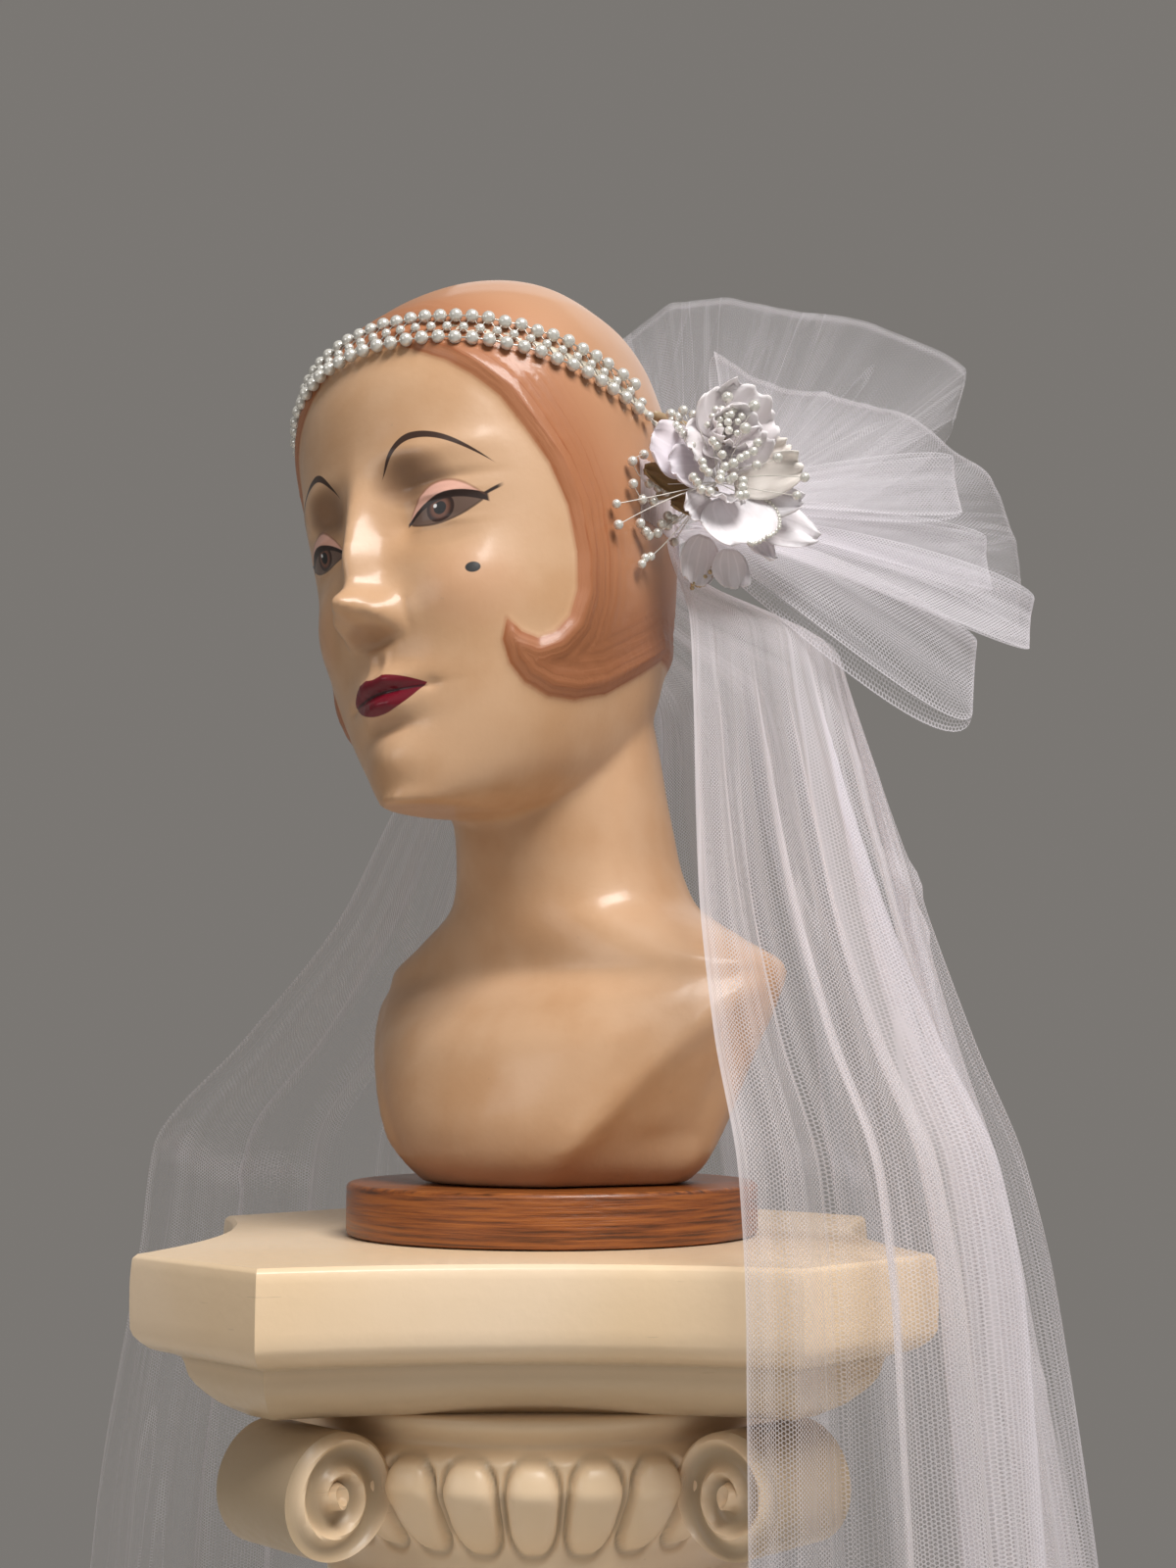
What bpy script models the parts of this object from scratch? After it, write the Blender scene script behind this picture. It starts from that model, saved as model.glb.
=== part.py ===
"""Bridal veil of gathered tulle on a display head and pedestal.

Metres, +Z up, -Y is the front. The origin is the centre of the plinth's underside.
The wearer's own frame has +X to the wearer's left, -Y where the face looks, and heights
above the pedestal's top. Azimuths are degrees about +Z from +X.
"""
import math
from collections import namedtuple

import bmesh
import bpy
import numpy as np
from mathutils import Vector

SEAM_GAP = 0.0003

# Pedestal
PEDESTAL_TOP = 0.75
ABACUS_HALF = 0.150
ABACUS_CORNER_CUT = 0.056
ABACUS_HOLLOW = 0.016
ABACUS_THICKNESS = 0.058
ABACUS_SIDE_STEPS = 8
ABACUS_PROFILE = (
    (0.046, 0.058), (0.034, 0.053), (0.023, 0.044), (0.020, 0.037), (0.008, 0.034),
    (0.001, 0.026), (0.0, 0.012), (0.0015, 0.003), (0.005, 0.0))
PLINTH_HALF = 0.128
PLINTH_HEIGHT = 0.045
CAPITAL_HEIGHT = 0.080
VOLUTE_RADIUS = 0.0225
VOLUTE_WIDTH = 0.050
VOLUTE_REACH = 0.122
VOLUTE_DROP = 0.085
VOLUTE_STEPS = 14
TURNED_STEPS = 32

# Wooden foot of the display head
FOOT_X = 0.005
FOOT_RADIUS = 0.086
FOOT_HEIGHT = 0.0215
FOOT_ROUNDING = 0.004

# Stance of the display head
HEAD_X = 0.012
HEAD_Y = 0.004
HEAD_TURN = math.radians(-38.0)
HEAD_LEAN = math.radians(9.0)
LEAN_PIVOT = 0.19
LEAN_START = 0.15
LEAN_END = 0.21
FACE_COLUMN_STEP = 8
BACK_COLUMN_STEP = 15
FACE_HALF_ANGLE = 60

# Pearl band
BAND_SIDE_HEIGHT = 0.342
BAND_RISE = 0.020
BAND_BOW = 0.003
BAND_HALF_WIDTH = 0.009
BAND_CLEARANCE = 0.0008
BAND_THICKNESS = 0.0014
PEARL_RAISE = 0.0022
PEARL_START = -195.0
PEARL_END = 12.0
PEARL_COUNT = 40
BAND_PLAIN_STEPS = 16

# Tulle
TULLE = 0.0012
HEADING_CLEARANCE = 0.0009
HEADING_START = 10.0
HEADING_END = 130.0
HEADING_TOP = 0.313
HEADING_BOTTOM = 0.285
HEADING_STEPS = 30
GATHER_START = 27.0
GATHER_DEPTH = 0.0006
VEIL_SEAM = 0.0008
FALL_BLEND = 0.075
FALL_FLARE = 0.12
FOLD_GROWTH = 0.34
HEM_HEIGHT = 0.14
FOLD_STEPS = 5
FOLD_DEPTH = 0.0085

# Flowers
PETAL_THICKNESS = 0.001
PETAL_ROWS = 4
PETAL_COLUMNS = 5

Girth = namedtuple("Girth", "height half_width front back centre")
BUST = [
    Girth(0.0218, 0.058, 0.056, 0.046, -0.008),
    Girth(0.030, 0.068, 0.063, 0.050, -0.008),
    Girth(0.050, 0.079, 0.068, 0.054, -0.006),
    Girth(0.075, 0.090, 0.066, 0.052, -0.002),
    Girth(0.095, 0.099, 0.058, 0.044, 0.004),
    Girth(0.108, 0.102, 0.050, 0.040, 0.008),
    Girth(0.122, 0.080, 0.050, 0.042, 0.006),
    Girth(0.138, 0.055, 0.050, 0.044, 0.004),
    Girth(0.160, 0.047, 0.052, 0.045, 0.000),
    Girth(0.185, 0.044, 0.054, 0.046, -0.006),
    Girth(0.215, 0.044, 0.054, 0.048, -0.010),
]
HEAD = [
    Girth(0.170, 0.018, 0.036, 0.026, -0.078),
    Girth(0.176, 0.032, 0.048, 0.048, -0.062),
    Girth(0.190, 0.046, 0.060, 0.068, -0.050),
    Girth(0.212, 0.057, 0.066, 0.082, -0.046),
    Girth(0.242, 0.065, 0.070, 0.094, -0.044),
    Girth(0.275, 0.070, 0.072, 0.101, -0.042),
    Girth(0.305, 0.073, 0.076, 0.104, -0.040),
    Girth(0.335, 0.074, 0.078, 0.104, -0.038),
    Girth(0.362, 0.070, 0.072, 0.098, -0.036),
    Girth(0.386, 0.058, 0.058, 0.084, -0.030),
    Girth(0.402, 0.042, 0.041, 0.063, -0.024),
    Girth(0.411, 0.021, 0.022, 0.036, -0.020),
    Girth(0.413, 0.006, 0.006, 0.010, -0.018),
]
BUST_ROWS = 13
HEAD_ROWS = 22
HEAD_ROW_CROWDING = 0.4

# Soft forms of the face, each a mound or hollow pushed forward at a place on it
Form = namedtuple("Form", "aside height half_width half_height push")
FACE = [
    Form(0.000, 0.284, 0.007, 0.017, 0.007),
    Form(0.000, 0.264, 0.008, 0.014, 0.010),
    Form(0.000, 0.247, 0.010, 0.008, 0.017),
    Form(0.011, 0.244, 0.006, 0.006, 0.006),
    Form(0.030, 0.283, 0.015, 0.011, -0.006),
    Form(0.036, 0.250, 0.018, 0.016, 0.003),
    Form(0.000, 0.2185, 0.017, 0.0045, 0.006),
    Form(0.000, 0.2085, 0.014, 0.0045, 0.006),
    Form(0.000, 0.187, 0.016, 0.010, 0.006),
]

# Outline of the hanging cloth at each height: its two free edges and its reach from the axis
Level = namedtuple("Level", "height front_x front_y right back left_x left_y")
VEIL_LEVELS = [
    Level(0.140, 0.079, -0.175, 0.262, 0.290, -0.250, 0.182),
    Level(0.400, 0.078, -0.174, 0.248, 0.282, -0.242, 0.176),
    Level(0.600, 0.077, -0.173, 0.224, 0.268, -0.231, 0.170),
    Level(0.730, 0.077, -0.172, 0.200, 0.246, -0.209, 0.160),
    Level(0.780, 0.075, -0.166, 0.189, 0.230, -0.200, 0.150),
    Level(0.833, 0.068, -0.132, 0.178, 0.202, -0.152, 0.138),
    Level(0.890, 0.064, -0.096, 0.164, 0.174, -0.102, 0.115),
    Level(0.940, 0.063, -0.074, 0.149, 0.150, -0.075, 0.102),
    Level(0.985, 0.063, -0.054, 0.128, 0.125, -0.048, 0.092),
    Level(1.050, 0.060, -0.030, 0.095, 0.098, -0.030, 0.080),
]
RIGHT_AZIMUTH = 12.0
BACK_AZIMUTH = 80.0
VEIL_DROPS = (0.0, 0.018, 0.042, 0.075, 0.115, 0.165, 0.225, 0.30, 0.40, 0.54, 0.74, 1.0)

# The hanging folds, from the front edge to the far one
Fold = namedtuple("Fold", "share crest")
FOLDS = [
    Fold(1.30, 0.55), Fold(0.80, 1.00), Fold(1.10, 0.70), Fold(0.75, 1.15), Fold(1.25, 0.80),
    Fold(0.90, 1.30), Fold(0.80, 0.75), Fold(1.20, 1.10), Fold(0.95, 0.90), Fold(0.75, 1.25),
    Fold(1.15, 0.80), Fold(1.00, 1.20), Fold(0.80, 0.95), Fold(1.25, 0.75), Fold(0.85, 1.20),
    Fold(1.10, 1.00), Fold(0.95, 0.80), Fold(0.80, 1.15), Fold(1.20, 0.70), Fold(1.00, 1.05),
    Fold(0.90, 0.90), Fold(1.35, 0.60),
]

# Rims of the puffed layers, world coordinates
Rim = namedtuple("Rim", "x y z")
POUF_TOP_RIM = [
    Rim(0.038, 0.094, 1.172), Rim(0.066, 0.094, 1.196), Rim(0.100, 0.094, 1.194),
    Rim(0.133, 0.092, 1.188), Rim(0.168, 0.090, 1.179), Rim(0.205, 0.086, 1.157), Rim(0.197, 0.080, 1.128),
]
POUF_MIDDLE_RIM = [
    Rim(0.079, 0.046, 1.149), Rim(0.122, 0.044, 1.131), Rim(0.155, 0.040, 1.123),
    Rim(0.186, 0.036, 1.105), Rim(0.205, 0.034, 1.084), Rim(0.216, 0.032, 1.054), Rim(0.215, 0.030, 1.014),
]
Layer = namedtuple(
    "Layer", "name rim front_from front_to rear_from rear_to height spring puff pleats pleat_depth")
POUF_LAYERS = [
    Layer("pouf_top", POUF_TOP_RIM, 80.0, 62.0, 100.0, 84.0, 0.306, 0.045, 0.030, 6, 0.0040),
    Layer("pouf_middle", POUF_MIDDLE_RIM, 48.0, 38.0, 58.0, 52.0, 0.304, 0.040, 0.014, 7, 0.0032),
    Layer("pouf_loop_1", [Rim(0.181, -0.004, 1.084), Rim(0.184, -0.006, 1.060)],
          33.0, 30.0, 36.0, 33.5, 0.3045, 0.030, 0.006, 1, 0.0012),
    Layer("pouf_loop_2", [Rim(0.196, 0.004, 1.050), Rim(0.198, 0.002, 1.027)],
          34.0, 31.0, 37.0, 34.5, 0.2985, 0.030, 0.006, 1, 0.0012),
    Layer("pouf_loop_3", [Rim(0.215, -0.002, 1.021), Rim(0.212, -0.004, 0.999)],
          35.0, 32.0, 38.0, 35.5, 0.2935, 0.034, 0.006, 1, 0.0012),
    Layer("pouf_tail", [Rim(0.184, -0.030, 0.996), Rim(0.181, -0.032, 0.966)],
          31.0, 27.5, 33.5, 30.5, 0.2885, 0.040, 0.004, 1, 0.0012),
]
LAYER_ROWS = 4
LAYER_STAND_OFF = 0.0008
PLEAT_STEPS = 4

# Flowers: where each grows on the head's side, where it points, and its petals
Flower = namedtuple("Flower", "name angle height stand_off stalk point petals spin length width cup")
FLOWERS = [
    Flower("flower_upper", 20.0, 0.337, 0.0029, 0.026, (0.86, -0.46, 0.10), 5, 0.25, 0.028, 0.016, 0.012),
    Flower("flower_lower", 16.0, 0.297, 0.0044, 0.012, (0.80, -0.52, -0.52), 5, 0.75, 0.020, 0.012, 0.006),
]
STALK_RADIUS = 0.0045
STALK_STEPS = 10
PETAL_SPREAD = 0.6


def finish(name, colour, roughness, metallic=0.0):
    """A plain surface of one colour."""
    material = bpy.data.materials.new(name)
    material.use_nodes = True
    shader = material.node_tree.nodes["Principled BSDF"]
    shader.inputs["Base Color"].default_value = (*colour, 1.0)
    shader.inputs["Roughness"].default_value = roughness
    shader.inputs["Metallic"].default_value = metallic
    material.diffuse_color = (*colour, 1.0)
    return material


def add_solid(name, material, points, faces):
    """A closed mesh object with its faces pointing out."""
    mesh = bpy.data.meshes.new(name)
    mesh.from_pydata([tuple(map(float, point)) for point in points], [], faces)
    body = bmesh.new()
    body.from_mesh(mesh)
    bmesh.ops.recalc_face_normals(body, faces=body.faces)
    body.to_mesh(mesh)
    body.free()
    mesh.materials.append(material)
    mesh.shade_smooth()
    mesh.set_sharp_from_angle(angle=math.radians(50))
    solid = bpy.data.objects.new(name, mesh)
    bpy.context.collection.objects.link(solid)
    return solid


def loft(name, material, rings):
    """A closed solid through rings of equal length, flat at both ends."""
    count = len(rings[0])
    points = [point for ring in rings for point in ring]
    faces = [list(range(count)), list(range(len(points) - count, len(points)))]
    for row in range(len(rings) - 1):
        for column in range(count):
            after = (column + 1) % count
            low = row * count
            high = low + count
            faces.append([low + column, low + after, high + after, high + column])
    return add_solid(name, material, points, faces)


def wall(name, material, grid, thickness):
    """A closed wall around a grid of middle points, thickness measured along its normals."""
    grid = np.array(grid, dtype=float)
    across = np.gradient(grid, axis=1)
    down = np.gradient(grid, axis=0)
    normal = np.cross(across, down)
    normal /= np.linalg.norm(normal, axis=2, keepdims=True)
    rows, columns = grid.shape[:2]
    sides = (grid + normal * thickness / 2, grid - normal * thickness / 2)
    points = [point for side in sides for line in side for point in line]

    def index(side, row, column):
        return (side * rows + row) * columns + column

    faces = []
    for row in range(rows - 1):
        for column in range(columns - 1):
            corners = ((row, column), (row, column + 1), (row + 1, column + 1), (row + 1, column))
            faces.append([index(0, *corner) for corner in corners])
            faces.append([index(1, *corner) for corner in reversed(corners)])
    border = [(0, column) for column in range(columns)]
    border += [(row, columns - 1) for row in range(1, rows)]
    border += [(rows - 1, column) for column in range(columns - 2, -1, -1)]
    border += [(row, 0) for row in range(rows - 2, 0, -1)]
    for here, after in zip(border, border[1:] + border[:1]):
        faces.append([index(0, *here), index(1, *here), index(1, *after), index(0, *after)])
    return add_solid(name, material, points, faces)


def ring_of_sections(name, material, sections):
    """A closed ring swept through closed sections."""
    count = len(sections[0])
    points = [point for section in sections for point in section]
    faces = []
    for turn in range(len(sections)):
        here = turn * count
        after = ((turn + 1) % len(sections)) * count
        for corner in range(count):
            following = (corner + 1) % count
            faces.append([here + corner, here + following, after + following, after + corner])
    return add_solid(name, material, points, faces)


def turned(name, material, profile, centre_x=0.0, steps=TURNED_STEPS):
    """A solid of revolution about an upright axis from (radius, height) pairs, bottom first."""
    rings = []
    for radius, height in profile:
        ring = []
        for step in range(steps):
            angle = 2 * math.pi * step / steps
            ring.append((centre_x + radius * math.cos(angle), radius * math.sin(angle), height))
        rings.append(ring)
    return loft(name, material, rings)


def ease(low, high, value):
    """0 below low, 1 above high, smooth between."""
    share = min(1.0, max(0.0, (value - low) / (high - low)))
    return share * share * (3 - 2 * share)


def smooth_through(places, values, place):
    """The value at a place of a smooth curve through known values, with no overshoot."""
    widths = np.diff(places)
    slopes = np.diff(values) / widths
    tangents = np.empty(len(places))
    tangents[0] = slopes[0]
    tangents[-1] = slopes[-1]
    for k in range(1, len(places) - 1):
        product = slopes[k - 1] * slopes[k]
        tangents[k] = 2 * product / (slopes[k - 1] + slopes[k]) if product > 0 else 0.0
    k = int(np.clip(np.searchsorted(places, place) - 1, 0, len(widths) - 1))
    t = min(1.0, max(0.0, (place - places[k]) / widths[k]))
    start = values[k] * (1 + 2 * t) + widths[k] * tangents[k] * t
    end = values[k + 1] * (3 - 2 * t) - widths[k] * tangents[k + 1] * (1 - t)
    return start * (1 - t) ** 2 + end * t ** 2


def read_rows(rows, height):
    """A row of a table worked out at any height."""
    places = [row.height for row in rows]
    fields = zip(*rows)
    return type(rows[0])(*(smooth_through(places, values, height) for values in fields))


def to_world(x, y, height):
    """A point of the wearer's own frame, with the head's lean, in world coordinates."""
    lean = -HEAD_LEAN * ease(LEAN_START, LEAN_END, height)
    rise = height - LEAN_PIVOT
    leaned_x = x * math.cos(lean) + rise * math.sin(lean)
    leaned_height = LEAN_PIVOT - x * math.sin(lean) + rise * math.cos(lean)
    world_x = HEAD_X + leaned_x * math.cos(HEAD_TURN) - y * math.sin(HEAD_TURN)
    world_y = HEAD_Y + leaned_x * math.sin(HEAD_TURN) + y * math.cos(HEAD_TURN)
    return world_x, world_y, PEDESTAL_TOP + leaned_height


def girth_point(girth, degrees, out=0.0):
    """A point of one oval section, moved out along its normal."""
    cosine = math.cos(math.radians(degrees))
    sine = math.sin(math.radians(degrees))
    depth = girth.back if sine > 0 else girth.front
    normal = Vector((cosine / girth.half_width, sine / depth)).normalized()
    return (girth.half_width * cosine + out * normal.x,
            girth.centre + depth * sine + out * normal.y)


def on_head(degrees, height, out=0.0):
    """World point on the head's side at an angle from the wearer's left, moved out."""
    x, y = girth_point(read_rows(HEAD, height), degrees, out)
    return to_world(x, y, height)


def face_push(x, height):
    """How far the face's forms stand forward."""
    push = 0.0
    for form in FACE:
        for side in {form.aside, -form.aside}:
            across = (x - side) / form.half_width
            upward = (height - form.height) / form.half_height
            push += form.push * math.exp(-across * across - upward * upward)
    return push


def head_angles():
    """Column angles round the head, closer together on the face."""
    face = range(-90 - FACE_HALF_ANGLE, -90 + FACE_HALF_ANGLE, FACE_COLUMN_STEP)
    rest = range(-90 + FACE_HALF_ANGLE, 270 - FACE_HALF_ANGLE, BACK_COLUMN_STEP)
    return [*face, *rest]


def build_display_head(skin):
    """Bust, neck and head in one smooth solid."""
    angles = head_angles()
    rings = []
    for height in np.linspace(BUST[0].height, BUST[-1].height, BUST_ROWS):
        girth = read_rows(BUST, height)
        ring = [to_world(*girth_point(girth, degrees), height) for degrees in angles]
        rings.append(ring)
    bust = loft("display_head", skin, rings)

    rings = []
    for step in range(HEAD_ROWS + 1):
        even = step / HEAD_ROWS
        share = even + HEAD_ROW_CROWDING * ((1 - math.cos(math.pi * even)) / 2 - even)
        height = HEAD[0].height + share * (HEAD[-1].height - HEAD[0].height)
        girth = read_rows(HEAD, height)
        ring = []
        for degrees in angles:
            x, y = girth_point(girth, degrees)
            front = ease(0.0, 0.5, -math.sin(math.radians(degrees)))
            ring.append(to_world(x, y - front * face_push(x, height), height))
        rings.append(ring)
    skull = loft("head_form", skin, rings)
    skull.hide_render = True
    skull.display_type = "WIRE"
    join = bust.modifiers.new("join_head", "BOOLEAN")
    join.operation = "UNION"
    join.object = skull


def band_height(degrees):
    """Height of the band's middle line round the head."""
    sine = math.sin(math.radians(degrees))
    return BAND_SIDE_HEIGHT - BAND_RISE * sine + BAND_BOW * sine * sine


def build_pearl_band(pearl):
    """A band round the head with three staggered rows of raised pearls."""
    pearl_steps = 2 * PEARL_COUNT
    pearl_arc = PEARL_END - PEARL_START
    turns = [(PEARL_START + pearl_arc * step / pearl_steps, step) for step in range(pearl_steps)]
    plain_arc = 360.0 - pearl_arc
    turns += [(PEARL_END + plain_arc * step / BAND_PLAIN_STEPS, None) for step in range(BAND_PLAIN_STEPS)]
    outer_shares = [row / 3 for row in range(-3, 4)]
    inner_shares = (1.0, 0.0, -1.0)
    sections = []
    for degrees, step in turns:
        middle = band_height(degrees)
        section = []
        for row, share in enumerate(outer_shares):
            outer_row = step is not None and row in (1, 5) and step % 2 == 1
            middle_row = step is not None and row == 3 and step % 2 == 0
            raise_by = PEARL_RAISE if outer_row or middle_row else 0.0
            out = BAND_CLEARANCE + BAND_THICKNESS + raise_by
            section.append(on_head(degrees, middle + share * BAND_HALF_WIDTH, out))
        for share in inner_shares:
            section.append(on_head(degrees, middle + share * BAND_HALF_WIDTH, BAND_CLEARANCE))
        sections.append(section)
    ring_of_sections("pearl_band", pearl, sections)


def build_heading(tulle):
    """The gathered top of the veil, held flat on the side and back of the head."""
    middle = HEADING_CLEARANCE + TULLE / 2
    grid = []
    for row in range(4):
        height = HEADING_TOP + (HEADING_BOTTOM - HEADING_TOP) * row / 3
        line = []
        for step in range(HEADING_STEPS + 1):
            degrees = HEADING_START + (HEADING_END - HEADING_START) * step / HEADING_STEPS
            line.append(on_head(degrees, height, middle))
        grid.append(line)
    wall("heading", tulle, grid, TULLE)


def veil_columns():
    """Place of each column along the cloth, with the fold's wave there from -1 upward."""
    total = sum(fold.share for fold in FOLDS)
    columns = []
    start = 0.0
    for fold in FOLDS:
        for step in range(FOLD_STEPS):
            phase = step / FOLD_STEPS
            wave = fold.crest * (1 - math.cos(2 * math.pi * phase)) - 1
            columns.append((start + fold.share * phase / total, wave))
        start += fold.share / total
    columns.append((1.0, -1.0))
    return columns


def veil_point(share, wave, drop):
    """A point of the hanging cloth: share along it, fold wave, and share of its drop."""
    degrees = GATHER_START + (HEADING_END - GATHER_START) * share
    top = Vector(on_head(degrees, HEADING_BOTTOM - VEIL_SEAM, HEADING_CLEARANCE + TULLE / 2))
    height = top.z + (HEM_HEIGHT - top.z) * drop
    level = read_rows(VEIL_LEVELS, height)
    front = math.degrees(math.atan2(level.front_y, level.front_x))
    left = math.degrees(math.atan2(level.left_y, level.left_x))
    azimuth = front + (left - front) * share
    places = (front, RIGHT_AZIMUTH, BACK_AZIMUTH, left)
    reaches = (math.hypot(level.front_x, level.front_y), level.right, level.back,
               math.hypot(level.left_x, level.left_y))
    fallen = top.z - height
    depth = GATHER_DEPTH + (FOLD_DEPTH - GATHER_DEPTH) * ease(0.0, FOLD_GROWTH, fallen)
    reach = smooth_through(places, reaches, azimuth) + depth * wave
    angle = math.radians(azimuth)
    hanging = Vector((reach * math.cos(angle), reach * math.sin(angle), height))
    gathered = Vector((top.x, top.y, height))
    outward = Vector((top.x - HEAD_X, top.y - HEAD_Y, 0.0)).normalized()
    gathered += outward * (depth * wave + FALL_FLARE * fallen)
    return gathered.lerp(hanging, ease(0.0, FALL_BLEND, fallen))


def build_veil(tulle):
    """The long sheet of tulle, in folds from the heading to the hem."""
    columns = veil_columns()
    grid = [[veil_point(share, wave, drop) for share, wave in columns] for drop in VEIL_DROPS]
    wall("veil", tulle, grid, TULLE)


def rim_point(rim, share):
    """A point of a rim at a share of its length."""
    if len(rim) == 2:
        return Vector(rim[0]).lerp(Vector(rim[1]), share)
    places = np.linspace(0.0, 1.0, len(rim))
    return Vector([smooth_through(places, values, share) for values in zip(*rim)])


def bezier(start, start_pull, end_pull, end, share):
    """A point of a cubic curve from its two ends and their pulls."""
    rest = 1 - share
    return (start * rest ** 3 + start_pull * (3 * rest * rest * share)
            + end_pull * (3 * rest * share * share) + end * share ** 3)


def heading_start(degrees, height, pull):
    """A point just off the heading, and the pull that sends cloth straight out of it."""
    stand_off = HEADING_CLEARANCE + TULLE + LAYER_STAND_OFF
    start = Vector(on_head(degrees, height, stand_off))
    outer = Vector(on_head(degrees, height, stand_off + pull))
    return start, outer


def build_pouf_layer(layer, tulle):
    """A folded loop of tulle that leaves the heading, turns at its rim and comes back."""
    columns = layer.pleats * PLEAT_STEPS
    centre = Vector(on_head(layer.front_from, layer.height))
    facing = (rim_point(layer.rim, 0.0) - centre).cross(rim_point(layer.rim, 1.0) - centre)
    facing.normalize()
    if facing.y > 0:
        facing.negate()
    grid = [[] for row in range(2 * LAYER_ROWS + 1)]
    for column in range(columns + 1):
        share = column / columns
        rim = rim_point(layer.rim, share)
        front_angle = layer.front_from + (layer.front_to - layer.front_from) * share
        rear_angle = layer.rear_from + (layer.rear_to - layer.rear_from) * share
        front, front_pull = heading_start(front_angle, layer.height, layer.spring)
        rear, rear_pull = heading_start(rear_angle, layer.height, layer.spring)
        wave = layer.pleat_depth * math.cos(2 * math.pi * layer.pleats * share)
        for row in range(2 * LAYER_ROWS + 1):
            turn = row / LAYER_ROWS
            if turn <= 1:
                point = bezier(front, front_pull, rim + facing * layer.puff, rim, turn)
            else:
                point = bezier(rim, rim - facing * layer.puff, rear_pull, rear, turn - 1)
            pleat = wave * math.sin(math.pi * turn / 2)
            grid[row].append(point + facing * pleat)
    wall(layer.name, tulle, grid, TULLE)


def petal_grid(origin, along, across, axis, flower):
    """Middle points of one cupped petal."""
    grid = []
    for row in range(PETAL_ROWS):
        share = row / (PETAL_ROWS - 1)
        width = flower.width * (0.35 + 0.65 * math.sin(math.pi * (0.08 + 0.74 * share)))
        width = min(width, PETAL_SPREAD * (STALK_RADIUS + flower.length * share))
        line = []
        for column in range(PETAL_COLUMNS):
            side = 2 * column / (PETAL_COLUMNS - 1) - 1
            rise = flower.cup * (share ** 1.6 + 0.25 * side * side * share)
            forward = flower.length * share * (1 - 0.12 * side * side)
            line.append(origin + along * forward + across * (width * side) + axis * rise)
        grid.append(line)
    return grid


def build_flower(flower, silk):
    """A stalk on the head's side with a ring of cupped petals."""
    axis = Vector(flower.point).normalized()
    root = Vector(on_head(flower.angle, flower.height, flower.stand_off))
    up = Vector((0.0, 0.0, 1.0))
    side = axis.cross(up).normalized()
    over = side.cross(axis).normalized()
    rings = []
    for height, radius in ((0.0, 0.7), (0.35, 0.9), (0.8, 1.0), (1.0, 0.8)):
        ring = []
        for step in range(STALK_STEPS):
            angle = 2 * math.pi * step / STALK_STEPS
            spoke = side * math.cos(angle) + over * math.sin(angle)
            ring.append(root + axis * flower.stalk * height + spoke * STALK_RADIUS * radius)
        rings.append(ring)
    loft(flower.name + "_stalk", silk, rings)
    for petal in range(flower.petals):
        angle = 2 * math.pi * (petal + flower.spin) / flower.petals
        along = side * math.cos(angle) + over * math.sin(angle)
        across = axis.cross(along).normalized()
        origin = root + axis * flower.stalk * 0.8 + along * (STALK_RADIUS + SEAM_GAP)
        grid = petal_grid(origin, along, across, axis, flower)
        wall(f"{flower.name}_petal_{petal + 1}", silk, grid, PETAL_THICKNESS)


def build_foot(wood):
    """The round wooden foot."""
    low = PEDESTAL_TOP + SEAM_GAP
    high = PEDESTAL_TOP + FOOT_HEIGHT
    profile = [(FOOT_RADIUS - 0.0015, low), (FOOT_RADIUS, low + 0.0015)]
    for step in range(5):
        angle = math.pi / 2 * step / 4
        radius = FOOT_RADIUS - FOOT_ROUNDING * (1 - math.cos(angle))
        profile.append((radius, high - FOOT_ROUNDING * (1 - math.sin(angle))))
    turned("wood_foot", wood, profile, centre_x=FOOT_X)


def abacus_outline(inset):
    """Hollow-sided square with cut corners, moved in by an inset."""
    half = ABACUS_HALF - inset
    reach = ABACUS_HALF - ABACUS_CORNER_CUT
    outline = []
    for quarter in range(4):
        turn = math.pi / 2 * quarter
        for step in range(ABACUS_SIDE_STEPS + 1):
            along = 2 * step / ABACUS_SIDE_STEPS - 1
            depth = half - ABACUS_HOLLOW * (1 - along * along)
            x = depth
            y = reach * along
            outline.append((x * math.cos(turn) - y * math.sin(turn),
                            x * math.sin(turn) + y * math.cos(turn)))
    return outline


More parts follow.
